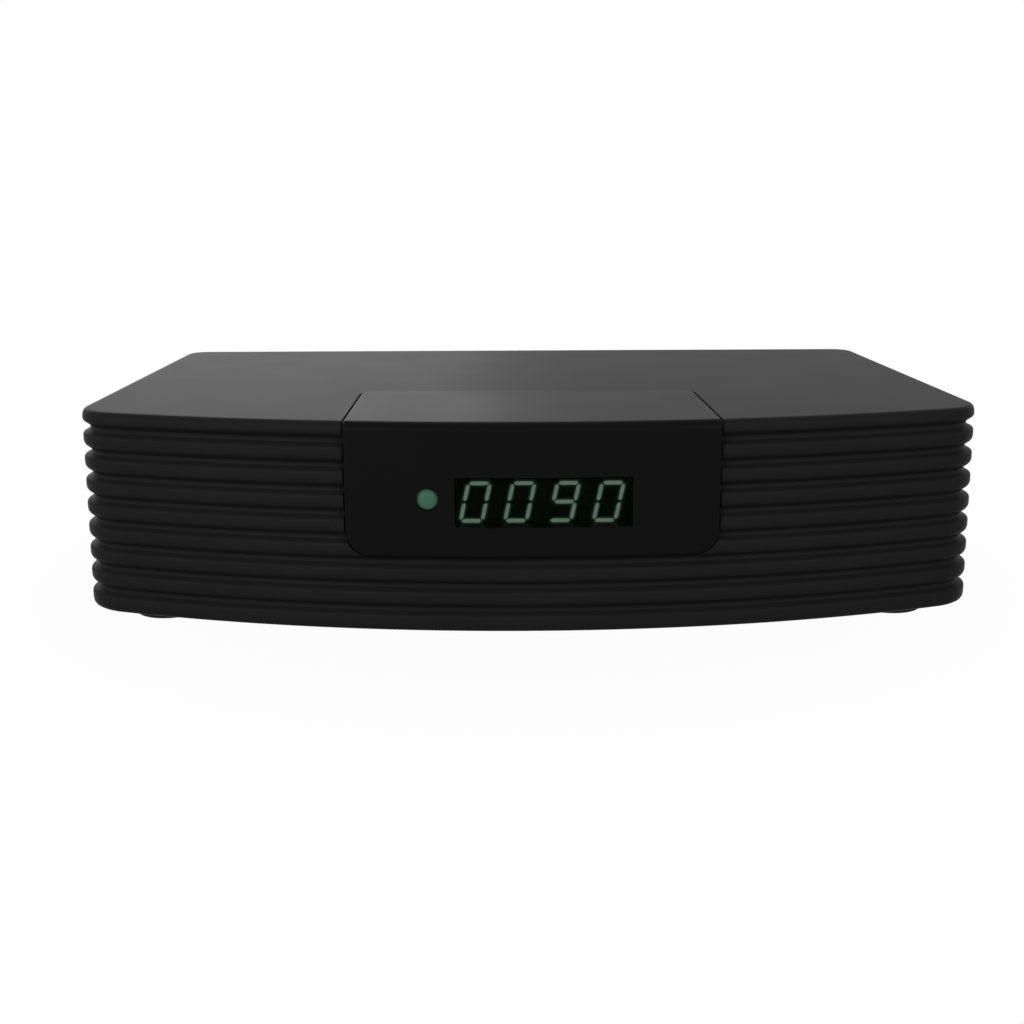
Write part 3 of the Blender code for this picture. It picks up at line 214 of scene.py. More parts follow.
def sheet_body(name, front, back):
    """Closed body between two grids of the same shape, with a band round their borders."""
    rows, columns = front.shape[:2]
    index = np.arange(rows * columns).reshape(rows, columns)
    border = np.concatenate((index[0, :-1], index[:-1, -1], index[-1, :0:-1], index[:0:-1, 0]))
    after, count = np.roll(border, -1), rows * columns
    faces = quads(rows, columns, False)
    band = np.stack((border, border + count, after + count, after), axis=-1)
    faces = np.vstack((faces, faces[:, ::-1] + count, band))
    return new_object(name, np.stack((front, back)), faces.tolist())


print("quads in a wrapped grid of 3 by 8:", len(quads(3, 8, True)))

# %% [markdown]
# Posts, pins, tongues and holes are rods or bars with a small softened rim, and sockets, feet and
# screws are turned. Equal pieces are gathered in one object, because one cut with all of them is
# quicker and cleaner than a cut for each.


# %% Rods, bars and turned pieces
def rod(name, centre, radius, low, high, view="top", edge=0.2 * MM):
    """Round bar seen end on, with softened rims."""
    return ring_body(name, circle(centre, 48), block_profile(low, high, edge) + (radius, 0), view)


def rods(name, places, radius, low, high, edge=0.2 * MM):
    """Equal upright rods, one at each place, in one object."""
    return gather(name, *(rod(name, place, radius, low, high, edge=edge) for place in places))


def bar(name, low_x, high_x, low_y, high_y, low, high, view="top", corner=0.05 * MM, edge=0.02 * MM):
    """Rectangular bar seen end on, with softened corners and rims."""
    outline = soft_outline(corners_of(low_x, high_x, low_y, high_y), corner)
    return ring_body(name, outline, block_profile(low, high, edge), view)


def block(name, box, corner, edge):
    """Bar that fills a node's box, with its rims to the front and the back."""
    low, high = box
    return bar(name, low.x, high.x, low.z, high.z, low.y, high.y, "front", corner, edge)


def turned(name, centre, corners, reach, view="front", steps=64):
    """Turned piece from a line of (radius, height) with softened corners."""
    return ring_body(name, circle(centre, steps), soft_profile(corners, reach), view)


def gather(name, *pieces):
    """One object that holds the meshes of several, which are removed."""
    shape = bmesh.new()
    for piece in pieces:
        shape.from_mesh(piece.data)
        bpy.data.objects.remove(piece)
    mesh = bpy.data.meshes.new(name)
    shape.to_mesh(mesh)
    shape.free()
    return add_object(name, mesh)


# %% [markdown]
# Some openings cross a curved wall, and no single formula gives their rims. There a Boolean cuts
# the wall with a tool made in the same way, and the result is kept as plain mesh straight away, so
# that no tool is left in the scene. Edges that a cut leaves hard get a narrow bevel.


# %% Cutting, joining and softening
def carve(target, operation, *tools):
    """Boolean of the target with each tool in turn, kept as its mesh; the tools are removed."""
    for tool in tools:
        step = target.modifiers.new(tool.name, "BOOLEAN")
        step.operation, step.object, step.solver = operation, tool, "EXACT"
    depsgraph = bpy.context.evaluated_depsgraph_get()
    depsgraph.update()
    target.data = bpy.data.meshes.new_from_object(target.evaluated_get(depsgraph))
    target.modifiers.clear()
    for tool in tools:
        bpy.data.objects.remove(tool)
    return target


def soften(piece, width):
    """Narrow bevel along the hard edges, which gives them the line of light that real edges have."""
    bevel = piece.modifiers.new("soft edges", "BEVEL")
    bevel.width, bevel.segments = width, 2
    bevel.limit_method, bevel.angle_limit = "ANGLE", np.radians(40)
    bevel.harden_normals = True
    return piece


# %% [markdown]
# A finish is a small tree of shader nodes. Writing each link by hand hides the idea, so sums on
# sockets are written as plain Python, and one method adds any other node. The names on the left
# are then the layers of the finish, such as its grain or its streaks.


# %% Shader sums and nodes
def maths(operation, swapped=False):
    """Method that adds a Math node; it is swapped where the socket stands on the right of the sign."""
    def method(self, other):
        first, second = (other, self) if swapped else (self, other)
        return self.shading.node("ShaderNodeMath", {"operation": operation}, {0: first, 1: second})
    return method


class Socket:
    """An output of a node. A sum on it adds a Math node to the same tree."""

    def __init__(self, shading, output):
        self.shading, self.output = shading, output

    __add__ = __radd__ = maths("ADD")
    __sub__, __rsub__ = maths("SUBTRACT"), maths("SUBTRACT", swapped=True)
    __mul__ = __rmul__ = maths("MULTIPLY")
    __lt__ = maths("LESS_THAN")
    at_most, at_least = maths("MINIMUM"), maths("MAXIMUM")


class Shading:
    """A node tree of a material or of the world, emptied and ready to be filled."""

    def __init__(self, tree):
        self.tree = tree
        tree.nodes.clear()

    def node(self, kind, settings=(), sockets=(), output=0):
        """Adds a node: its settings come first, then a value or a link for each socket."""
        made = self.tree.nodes.new(kind)
        for name, value in dict(settings).items():
            setattr(made, name, value)
        for name, value in dict(sockets).items():
            if isinstance(value, Socket):
                self.tree.links.new(value.output, made.inputs[name])
            else:
                made.inputs[name].default_value = value
        return Socket(self, made.outputs[output]) if made.outputs else None

    def place(self, scale=(1, 1, 1), rotation=(0, 0, 0)):
        """Object coordinates in metres, which are also places in the frame."""
        where = self.node("ShaderNodeTexCoord", output="Object")
        return self.node("ShaderNodeMapping", {}, {"Vector": where, "Scale": scale, "Rotation": rotation})

    def noise(self, size, detail, scale=(1, 1, 1)):
        """Soft random pattern with features of about the given size, from 0 to 1."""
        return self.node("ShaderNodeTexNoise", {}, {
            "Vector": self.place(scale), "Scale": 1 / size, "Detail": detail})

    def blend(self, share, first, second):
        """Colour between two colours."""
        return self.node("ShaderNodeMix", {"data_type": "RGBA"}, {
            "Factor": share, "A": first, "B": second}, "Result")

    def relief(self, height, depth):
        """Normal of a surface whose height varies by the given depth."""
        return self.node("ShaderNodeBump", {}, {"Height": height, "Distance": depth})


finishes = {}


def material(name, build):
    """Material whose Principled shader takes the sockets that the build function returns."""
    made = finishes[name] = bpy.data.materials.new(name)
    made.use_nodes = True
    shading = Shading(made.node_tree)
    surface = shading.node("ShaderNodeBsdfPrincipled", {}, build(shading))
    shading.node("ShaderNodeOutputMaterial", {}, {"Surface": surface})


def grey(level, tint=(1, 1, 1)):
    """Colour of one level, with a tint."""
    return (level * tint[0], level * tint[1], level * tint[2], 1)


print("sums on sockets:", [name for name in vars(Socket) if name.startswith("__r")])

# %% [markdown]
# The case is moulded in black plastic whose mould was spark eroded, so it has a fine, even grain
# and a satin sheen. The front panel is the same plastic from a smoother mould. A photographed
# texture could give the grain, but noise in object coordinates has no seams and suits every size.
# Both plastics are nearly black, so what the eye reads is the sheen. It is set low, because the
# photograph's front faces are far darker than the grazing top. The rubber, the chips and the
# sockets differ only in numbers, so one recipe makes them all.


# %% Moulded plastic and rubber
def moulded(name, tone, roughness, grain, depth, sheen, tint):
    """Plastic or rubber with a grain, a slow change of tone and a roughness that follows both."""
    def build(shading):
        drift = shading.noise(18 * MM, 3)
        pits = shading.noise(grain * MM, 3)
        return {
            "Base Color": shading.blend(drift, grey(0.88 * tone, tint), grey(1.12 * tone, tint)),
            "Roughness": roughness - 0.05 + 0.06 * drift + 0.06 * pits,
            "Specular IOR Level": sheen,
            "Normal": shading.relief(pits, depth * MM),
        }
    material(name, build)


# Tone, roughness, size and depth of the grain in millimetres, sheen and tint.
plastics = {
    "cover_plastic": (0.0132, 0.42, 0.22, 0.004, 0.014, (1, 1, 1.03)),
    "panel_plastic": (0.0052, 0.4, 0.35, 0.0015, 0.021, (1, 1, 1.03)),
    "rubber": (0.012, 0.8, 0.3, 0.01, 0.1, (1, 1, 1)),
    "black_plastic": (0.012, 0.45, 0.25, 0.004, 0.1, (1, 1, 1)),
    "display_black": (0.0012, 0.5, 0.3, 0.002, 0.02, (0.8, 1.3, 0.9)),
    "white_plastic": (0.68, 0.5, 0.3, 0.003, 0.5, (1, 0.97, 0.89)),
    "chip_plastic": (0.015, 0.6, 0.15, 0.006, 0.2, (1, 1, 1.1)),
    "cable_sleeve": (0.6, 0.5, 0.5, 0.002, 0.4, (1, 1, 0.96)),
    "capacitor_sleeve": (0.03, 0.3, 0.6, 0.001, 0.5, (0.7, 1, 2.6)),
}
for name, numbers in plastics.items():
    moulded(name, *numbers)
print("plastics:", list(finishes))

# %% [markdown]
# The window is smoked acrylic: nearly black, polished, and clear enough for the digits behind it.
# A refracting glass could stand for it, but the sheet is thin, so an alpha that gives the share of
# light it stops looks the same and stays clean. The bars of the digits and the indicator light
# give off light of their own, and a slow pattern keeps their glow from being one flat colour.


# %% Smoked window and lit parts
def smoked(shading):
    """Polished smoked plastic with faint haze in its roughness."""
    haze = shading.noise(5 * MM, 2)
    return {
        "Base Color": shading.blend(haze, (0.0008, 0.003, 0.0012, 1), (0.0012, 0.004, 0.0018, 1)),
        "Roughness": 0.08 + 0.06 * haze,
        "Specular IOR Level": 0.02,
        "Alpha": 0.42 + 0.04 * haze,
    }


def lit(name, low, high, base):
    """Part that gives off light between two colours."""
    def build(shading):
        cloud = shading.noise(0.8 * MM, 2)
        return {
            "Base Color": shading.blend(cloud, grey(0.9, base), grey(1.1, base)),
            "Roughness": 0.4 + 0.05 * cloud,
            "Specular IOR Level": 0.1,
            "Emission Color": shading.blend(cloud, low + (1,), high + (1,)),
            "Emission Strength": 1.0,
        }
    material(name, build)


material("smoked_glass", smoked)
lit("bar_glow", (0.24, 0.37, 0.26), (0.36, 0.47, 0.37), (0.02, 0.03, 0.02))
# Painted glow: the halo of light round each lit bar, given off by a dim plate behind it.
lit("bloom_glow", (0.004, 0.028, 0.012), (0.006, 0.036, 0.016), (0.001, 0.003, 0.001))
lit("green_lens", (0.012, 0.05, 0.026), (0.02, 0.062, 0.033), (0.03, 0.06, 0.04))
print("window and lit parts:", list(finishes)[-4:])

# %% [markdown]
# Plated sockets, screws, the tinned can and the heat sink are all metal. Rolled or turned metal
# keeps fine streaks along its working direction. An anisotropic shader could smear the highlight,
# but it needs a tangent for each piece, so the noise itself is stretched, and the same streaks
# change the roughness and the relief.


# %% Metals
def metal(name, colour, roughness, stretch, streak=0.12):
    """Metal with fine streaks, which run along the axis whose stretch is the smallest."""
    def build(shading):
        streaks = shading.noise(0.25 * MM, 4, stretch)
        stain = shading.noise(6 * MM, 3)
        dark = tuple(0.86 * c for c in colour) + (1,)
        return {
            "Base Color": shading.blend(stain, dark, colour + (1,)),
            "Metallic": 1.0,
            "Roughness": roughness + streak * streaks + 0.06 * stain,
            "Normal": shading.relief(streaks, 0.002 * MM),
        }
    material(name, build)


metal("plated_metal", (0.66, 0.64, 0.60), 0.2, (1, 0.1, 1))
metal("tin_plate", (0.58, 0.58, 0.56), 0.3, (0.1, 1, 1))
metal("aluminium", (0.7, 0.7, 0.72), 0.35, (1, 0.08, 1))
metal("zinc_plate", (0.52, 0.53, 0.55), 0.3, (1, 1, 0.3))
metal("gold_plate", (0.85, 0.62, 0.28), 0.25, (1, 0.1, 1), 0.08)
print("metals:", list(finishes)[-5:])

# %% [markdown]
# A circuit board is green because of its solder resist. The copper under it shows as slightly
# raised, lighter lines, and bare pads shine where parts are soldered. Drawing each track would take
# days, and nobody sees it. A brick pattern gives lines in both directions that break off at
# random, which reads as tracks, and small round cells give the pads.


# %% Circuit board
def board_finish(shading):
    """Dark green resist, lighter tracks from two brick patterns, and tinned pads in round cells."""
    def tracks(turn, size):
        return shading.node("ShaderNodeTexBrick", {"offset": 0.37}, {
            "Vector": shading.place(rotation=(0, 0, turn)), "Scale": 1 / size,
            "Mortar Size": 0.03, "Mortar Smooth": 0.2}, "Fac")
    copper = tracks(0, 9 * MM).at_least(tracks(pi / 2, 7 * MM))
    distance = shading.node("ShaderNodeTexVoronoi", {}, {
        "Vector": shading.place(), "Scale": 1 / (2.6 * MM), "Randomness": 0.6})
    pads = distance < 0.16
    resist = shading.blend(copper, (0.012, 0.085, 0.035, 1), (0.03, 0.16, 0.06, 1))
    return {
        "Base Color": shading.blend(pads, resist, (0.6, 0.6, 0.58, 1)),
        "Metallic": pads,
        "Roughness": 0.42 - 0.12 * pads + 0.05 * copper,
        "Normal": shading.relief(copper + pads, 0.02 * MM),
    }


material("circuit_board", board_finish)
print("board finish:", len(finishes["circuit_board"].node_tree.nodes), "nodes")

# %% [markdown]
# The record names a slot for each packed node, and a slot is a place for one finish. Most slots
# share their finish's name, and a table gives the others. So a piece only names its node. Each is
# shaded smooth up to a crease, rides on the body and takes its node's place.

# %% Finish for each slot
slot_of = {subpart["node"]: subpart["material_slot"] for subpart in frame["record"]["subparts"]}
other_names = {
    "screening_can": "tin_plate", "zinc_screw": "zinc_plate", "chip": "chip_plastic",
    "flat_cable": "cable_sleeve", "smoked_window": "smoked_glass", "display_face": "display_black",
    "green_light": "green_lens",
}
crease_angle = np.radians(35)


def dress(mesh, slot, surface=None):
    """Leaves a mesh with one material, which is the slot's own unless another is named."""
    mesh.materials.clear()
    mesh.materials.append(finishes[surface or other_names.get(slot, slot)])


def finish(piece, node, surface=None, slot=None):
    """Shades a piece and puts it in its node's place, with the finish of the node's slot unless another is
    named.
    """
    slot = slot or slot_of[node]
    dress(piece.data, slot, surface)
    piece.data.shade_smooth()
    piece.data.set_sharp_from_angle(angle=crease_angle)
    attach(piece, "root")
    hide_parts(node)
    print(f"{piece.name}: {len(piece.data.polygons)} faces")


print("slots in use:", sorted(set(slot_of.values())))

# %% [markdown]
# The case is drawn in plan first. Its front is an arc of a large circle, its front corners are
# rounder than its rear ones, and its sides are straight and parallel. Because every part of the
# outline is an arc, its normals are exact, and the outline can be moved inwards without error.
# The width, the back, the top and the front come from the frame.

# %% Plan of the case
cover_low, cover_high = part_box("top_cover")
half_width, back_y, top_z, base_z = cover_high.x, cover_high.y, cover_high.z, cover_low.z
rib_apex_y = cover_low.y
front_bulge = 15.0 * MM
front_corner_radius = 10.4 * MM
rear_corner_radius = 5.0 * MM
bow_steps, front_steps, rear_steps = 84, 16, 10
bow_radius = (half_width ** 2 + front_bulge ** 2) / (2 * front_bulge)
bow_centre_y = rib_apex_y + bow_radius


def bow_y(x, inset=0.0):
    """Y of the bowed front at X, on its circle made smaller by the inset."""
    return bow_centre_y - np.sqrt((bow_radius - inset) ** 2 - np.asarray(x) ** 2)


def case_plan():
    """Closed plan of the case: the bow, then the corners in turn, anticlockwise."""
    corner_x = half_width - front_corner_radius
    corner_y = float(bow_y(corner_x, front_corner_radius))
    rear_x, rear_y = half_width - rear_corner_radius, back_y - rear_corner_radius
    swing = np.arctan2(corner_x, bow_centre_y - corner_y)
    return chain(
        arc((0, bow_centre_y), bow_radius, -pi / 2 - swing, -pi / 2 + swing, bow_steps),
        arc((corner_x, corner_y), front_corner_radius, swing - pi / 2, 0, front_steps),
        arc((half_width, rear_y), 0, 0, 0, 1),
        arc((rear_x, rear_y), rear_corner_radius, 0, pi / 2, rear_steps),
        arc((rear_x, back_y), 0, pi / 2, pi / 2, 1),
        arc((-rear_x, rear_y), rear_corner_radius, pi / 2, pi, rear_steps),
        arc((-half_width, rear_y), 0, pi, pi, 1),
        arc((-corner_x, corner_y), front_corner_radius, pi, 1.5 * pi - swing, front_steps),
    )


case_outline = case_plan()
print("plan points", len(case_outline[0]), "bow radius in mm", round(bow_radius / MM, 1))

# %% [markdown]
# The ribs are the mark of this case: eight grooves run round the front and both sides, below a
# rounded lip. Under each crest the wall leans in, so the light from the front leaves it dark. On
# the real cover they come out of the mould in one piece with the top. Separate bent rods on a box
# would leave seams, so here the whole section, from the top plate over its edge, down the ribs and
# up the inner wall, is one line of corners, softened and carried round the plan. A narrow flat ring
# at the rim of the top plate keeps its large face from being shaded like the rounded edge.

# %% Section of the ribbed wall
plate_thickness = 2.3 * MM
wall_thickness = 3.0 * MM
top_edge_reach, top_edge_drop = 1.0 * MM, 1.6 * MM
plate_border = 0.8 * MM
lip_height = 2.0 * MM
groove_count = 8
groove_pitch = 4.1 * MM
groove_opening = 2.0 * MM
groove_depth = 1.3 * MM
rib_height = 1.9 * MM
groove_lead, underside_lead = 0.6 * MM, 0.95 * MM
floor_reach, crest_reach, underside_reach, inner_reach = 0.25 * MM, 0.4 * MM, 0.7 * MM, 0.3 * MM
lower_edge_radius = 1.3 * MM
side_draft = 0.45 * MM


def drafted(offset, height):
    """Offset of a drafted side: the case is narrower by the draft at its top than at its foot."""
    return offset - side_draft * (height - base_z) / (top_z - base_z)


def rib_section():
    """Line of (offset from the crest, height) from the top plate to the ceiling inside."""
    rib_top = -(plate_thickness + groove_opening) - groove_pitch * np.arange(groove_count - 1)
    rib_low = rib_top - rib_height
    crest, floor = np.zeros_like(rib_top), np.full_like(rib_top, -groove_depth)
    ribs = np.stack((
        np.column_stack((floor, rib_top + groove_lead)),
        np.column_stack((crest, rib_top)),
        np.column_stack((crest, rib_low)),
        np.column_stack((floor, rib_low - underside_lead)),
    ), axis=1).reshape(-1, 2)
    last, bottom = rib_top[-1] - groove_pitch, base_z - top_z
    lip = [(-top_edge_reach, 0), (0, 0), (0, -lip_height), (-groove_depth, -lip_height - underside_lead)]
    foot = [
        (-groove_depth, last + groove_lead), (0, last),
        (0, bottom), (-wall_thickness, bottom), (-wall_thickness, -plate_thickness),
        (-wall_thickness - overrun, -plate_thickness),
    ]
    reaches = (
        [top_edge_drop, crest_reach, floor_reach]
        + [floor_reach, crest_reach, underside_reach, floor_reach] * (groove_count - 1)
        + [floor_reach, crest_reach, lower_edge_radius, inner_reach, inner_reach]
    )
    line = soft_profile(np.vstack((lip, ribs, foot)), reaches)
    line = np.vstack(([-top_edge_reach - plate_border, 0], line))
    offset, height = (line + (0, top_z)).T
    return np.column_stack((drafted(offset, height), height))


section = rib_section()
print("section points", len(section), "lowest in mm", round(section[:, 1].min() / MM, 2))

# %% [markdown]
# The front panel is an L: its face lies on the bow, and its tab is let into the top plate. It is
# a sheet that is bent at its upper front edge, so it is worked out flat, over a grid of X and the
# distance up the sheet, and then bent. A box with a bevel would not follow the bow. Near the
# outline the surface falls away in a quarter circle, and the distance to the outline has a formula
# for round corners, so the edge has the same radius all the way round. The same function, grown by
# the seam, makes the tool for the pocket in the cover.

# %% Front panel as a bent sheet
panel_low, panel_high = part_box("front_panel")
panel_half = panel_high.x
panel_bottom_z, panel_top_z = top_z - 22.6 * MM, panel_high.z
panel_proud = rib_apex_y - panel_low.y
tab_rear_y = panel_high.y
seam_gap = 0.25 * MM
face_thickness, tab_thickness = 2.2 * MM, 1.2 * MM
thinning_start, thinning_run = 4.0 * MM, 3.0 * MM
fold_radius = 1.5 * MM
face_corner_radius, tab_corner_radius = 4.1 * MM, 3.0 * MM
panel_edge = 0.5 * MM
border_rows = np.array([0, 0.03, 0.08, 0.16, 0.28, 0.42, 0.6, 1.0, 1.8]) * MM


def border_drop(across, radius):
    """How much a round corner cuts off the height of the sheet at this place across."""
    inside = np.clip(across + radius, 0, radius)
    return radius - np.sqrt(np.maximum(radius ** 2 - inside ** 2, 0))


def corner_distance(across, along, radius):
    """Distance to an outline with a round corner, from the distances past its two straight edges."""
    u, v = across + radius, along + radius
    return radius - np.where((u > 0) & (v > 0), np.hypot(u, v), np.maximum(u, v))


def bent_sheet(name, grow, front_depth, face_depth, tab_depth, edge):
    """The L of the panel: a grid over X and the distance up the sheet, bent round the fold.

    On the face a point is (x, bow + depth, z); in the fold it turns about the fold's axis by the
    angle distance / radius; on the tab it is (x, y, top - depth). The depth near the outline
    follows a quarter circle of the edge's radius.
    """
    half, low_end, rear_end = panel_half + grow, panel_bottom_z - grow, tab_rear_y + grow
    face_corner, tab_corner = face_corner_radius + grow, tab_corner_radius + grow
    turn = np.sin(np.linspace(0, pi / 2, 17)[1:])
    right = np.concatenate((np.linspace(0, half - face_corner, 26), half - face_corner * (1 - turn)))
    x = np.concatenate((-right[:0:-1], right))[:, None]
    across = np.abs(x) - half
    face_y = bow_y(x, -panel_proud)
    fold_z = panel_top_z - fold_radius
    low = low_end + border_drop(across, face_corner)
    rear = rear_end - border_drop(across, tab_corner)
    face_z = np.hstack((low + border_rows, low + (fold_z - low) * np.linspace(0.16, 0.98, 22)))
    angle = np.linspace(0, pi / 2, 11) + 0 * x
    tab_start = face_y + fold_radius
    tab_y = np.hstack((
        tab_start + (rear - tab_start) * np.linspace(0.02, 0.94, 18), rear - border_rows[::-1]))
    face = (face_y + 0 * face_z, face_z, 0 * face_z)
    fold = (tab_start - fold_radius * np.cos(angle), fold_z + fold_radius * np.sin(angle), angle)
    tab = (tab_y, panel_top_z + 0 * tab_y, pi / 2 + 0 * tab_y)
    y, z, lean = (np.hstack(parts) for parts in zip(face, fold, tab))
    distance = np.minimum(
        corner_distance(across, low_end - z, face_corner),
        corner_distance(across, y - rear_end, tab_corner),
    )
    inside = np.clip(edge - distance, 0, edge)
    front = front_depth + edge - np.sqrt(np.maximum(edge ** 2 - inside ** 2, 0))
    share = np.clip((z - (fold_z - thinning_start)) / thinning_run, 0, 1)
    back = face_depth + (tab_depth - face_depth) * (3 * share ** 2 - 2 * share ** 3)

    def at(depth):
        return np.dstack((x + 0 * y, y + depth * np.cos(lean), z - depth * np.sin(lean)))

    return sheet_body(name, at(front), at(back))


print("the panel stands proud by, in mm:", round(panel_proud / MM, 2))

# %% [markdown]
# Now the cover itself. The section is carried round the plan in one piece. Then the tools cut what
# the real mould leaves open: the mouth for the rear panel, the pocket for the front panel with its
# seam, and the opening behind the window and the light. Posts for the case screws are joined on
# inside, because a screw needs something to bite.

# %% Ribbed cover
rear_low, rear_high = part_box("rear_panel")
tray_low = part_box("base_tray")[0]
mouth_half = half_width - 13.0 * MM
plate_under_z = top_z - plate_thickness
opening_half = 28.65 * MM
opening_top_z, opening_low_z = top_z - 6.1 * MM, top_z - 19.9 * MM
far_y = rib_apex_y + 2 * wall_thickness
case_screws = four_boxes("case_screw")
screw_places = [middle(box) for box in case_screws]
post_radius = 3.5 * MM
boss_top_z = tray_low.z + 8.2 * MM

cover = ring_body("ribbed_cover", case_outline, section)
mouth = bar("mouth", -mouth_half, mouth_half, back_y - 2 * wall_thickness, back_y + overrun,
            base_z - overrun, plate_under_z)
pocket = bent_sheet("pocket", seam_gap, -overrun, face_thickness + fit_gap, fold_radius - 0.05 * MM, 0)
opening = bar("opening", -opening_half, opening_half, opening_low_z, opening_top_z,
              rib_apex_y - overrun, far_y, "front")
posts = [
    rod(f"post_{number}", place, post_radius, boss_top_z + fit_gap, plate_under_z + overrun)
    for number, place in enumerate(screw_places)
]
carve(cover, "UNION", *posts)
carve(cover, "DIFFERENCE", mouth, pocket, opening)
finish(cover, "top_cover")

# %% [markdown]
# The panel is the same bent sheet without the growth. Holes for the window and the light go
# through its face, and behind it stand the two posts that carry the display board. Drawing the
# holes into the grid would tie its rows to them, so they are cut afterwards.

# %% Front panel
board_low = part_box("display_board")[0]
window_centre_x, window_width, window_height = 1.8 * MM, 29.6 * MM, 8.45 * MM
window_z = top_z - 13.2 * MM
light_low, light_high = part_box("indicator_light")
light_centre = middle((light_low, light_high), "front")
light_radius, light_gap = 1.75 * MM, 0.12 * MM
board_post_x, board_post_z, board_post_radius = 25 * MM, top_z - 8.6 * MM, 2.2 * MM
board_post_sink = 0.5 * MM

panel = bent_sheet("bezel", 0, 0, face_thickness, tab_thickness, panel_edge)
window_cut = bar("window_cut", window_centre_x - window_width / 2, window_centre_x + window_width / 2,
                 window_z - window_height / 2, window_z + window_height / 2,
                 panel_low.y - overrun, far_y, "front", corner=0.4 * MM)
light_cut = rod("light_cut", light_centre, light_radius + light_gap, panel_low.y - overrun, far_y, "front")
board_posts = [
    rod(f"board_post_{side}", (side * board_post_x, board_post_z), board_post_radius,
        float(bow_y(board_post_x, board_post_sink)), board_low.y - fit_gap, "front")
    for side in (-1, 1)
]
carve(panel, "UNION", *board_posts)
carve(panel, "DIFFERENCE", window_cut, light_cut)
finish(panel, "front_panel")

# %% [markdown]
# Behind the window sits a four-digit module. Each digit is seven slanted bars with pointed ends,
# and small gaps part them. A font would give its own letter shapes, so one digit is drawn once as
# seven centre lines, and all bars of all digits come from the same few sums. In the photograph the
# bars are a soft grey green with a darker green bloom, so each lit bar is a bright core on a
# slightly wider, dimmer plate that glows: painted glow for the halo of light round the bar. The
# unlit bars show as faint dark ones.

# %% Four-digit display
module_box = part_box("display_module")
module_face_y = module_box[0].y
digit_height, digit_width, digit_pitch = 7.1 * MM, 4.3 * MM, 7.48 * MM
digit_slant, bar_width, bar_gap = 0.21, 0.66 * MM, 0.15 * MM
first_digit_x, digit_row_z = -9.6 * MM, top_z - 13.95 * MM
core_rise, bloom_rise, dark_rise = 0.08 * MM, 0.05 * MM, 0.06 * MM
bloom_spread = 0.32 * MM
half_size = ((digit_width - bar_width) / 2, (digit_height - bar_width) / 2)
stations = np.array([(-1, 1), (1, 1), (1, 0), (1, -1), (-1, -1), (-1, 0)]) * half_size
bar_ends = stations[np.array([(0, 1), (1, 2), (2, 3), (3, 4), (4, 5), (5, 0), (2, 5)])]
lit_strokes = {"0": "012345", "9": "012356"}


def bar_outline(digit, stroke, grow):
    """Six corners of a bar: its centre line shortened by the gap, with pointed ends, then slanted."""
    start, end = bar_ends[stroke]
    along = (end - start) / np.linalg.norm(end - start)
    side = np.array((-along[1], along[0])) * (bar_width / 2 + grow)
    start, end = start + along * (bar_gap - grow), end - along * (bar_gap - grow)
    shoulder = along * (bar_width / 2)
    corners = np.array([start, start + shoulder - side, end - shoulder - side,
                        end, end - shoulder + side, start + shoulder + side])
    corners[:, 0] += digit_slant * corners[:, 1] + first_digit_x + digit * digit_pitch
    corners[:, 1] += digit_row_z
    return corners


def display_bars(name, shining, rise, grow=0.0):
    """All the lit bars of the figures, or all the dark ones, in one piece."""
    profile = block_profile(module_face_y - rise, module_face_y + 0.05 * MM, 0.02 * MM)
    return gather(name, *(
        ring_body(f"bar_{digit}_{stroke}", soft_outline(bar_outline(digit, stroke, grow), 0.1 * MM, 2),
                  profile, "front")
        for digit, figure in enumerate("0090")
        for stroke in range(7) if (str(stroke) in lit_strokes[figure]) == shining
    ))


finish(block("digit_module", module_box, 0.4 * MM, 0.15 * MM), "display_module")
finish(display_bars("lit_bars", True, core_rise), "display_module", "bar_glow")
# The bloom is painted glow: a dim glowing plate a little wider than each lit bar, for its halo of light.
finish(display_bars("bar_bloom", True, bloom_rise, bloom_spread), "display_module", "bloom_glow")
finish(display_bars("dark_bars", False, dark_rise), "display_module")

# %% [markdown]
# The window is a curved smoked strip that follows the bow. It hides the module and dims the
# digits, so it is partly clear. A flat pane would stand out of the panel at its ends, so the strip
# lies between two bows. The indicator light beside it is a turned green lens with a low dome and a
# flange behind the panel.

# %% Window and indicator light
window_sink, window_behind, window_rim = 0.2 * MM, 1.0 * MM, 0.12 * MM
flange_radius, flange_depth = 2.2 * MM, 1.2 * MM
core_radius = 0.2 * MM


def bowed_strip(name, low_x, high_x, low_z, high_z, front_inset, back_inset):
    """Strip between two bows: points (x, bow(x) moved in by the inset, z) on a grid, with soft rims."""
    x = np.linspace(low_x, high_x, 49)[:, None]
    rows = np.linspace(low_z + window_rim, high_z - window_rim, 9)
    z = np.concatenate(([low_z], rows, [high_z]))[None]
    edge = np.minimum(np.minimum(x - low_x, high_x - x), np.minimum(z - low_z, high_z - z))
    round_off = window_rim * (1 - np.sqrt(1 - (1 - np.clip(edge / window_rim, 0, 1)) ** 2))
    flat = np.zeros_like(x * z)
    front = np.dstack((x + flat, bow_y(x, front_inset) + round_off, z + flat))
    back = np.dstack((x + flat, bow_y(x, back_inset) + flat, z + flat))
    return sheet_body(name, front, back)


lens_half, lens_rise = window_width / 2 - fit_gap / 2, window_height / 2 - fit_gap / 2
window = bowed_strip("smoked_strip", window_centre_x - lens_half, window_centre_x + lens_half,
                     window_z - lens_rise, window_z + lens_rise,
                     window_sink - panel_proud, face_thickness - panel_proud + window_behind)
finish(window, "display_window")

front_y, rear_y = light_low.y, light_high.y
lens = turned("green_lens", light_centre, [
    (core_radius, front_y), (0.95 * MM, front_y + 0.03 * MM), (light_radius, front_y + 0.45 * MM),
    (light_radius, rear_y - flange_depth), (flange_radius, rear_y - flange_depth),
    (flange_radius, rear_y), (core_radius, rear_y)], 0.4 * MM)
finish(lens, "indicator_light")

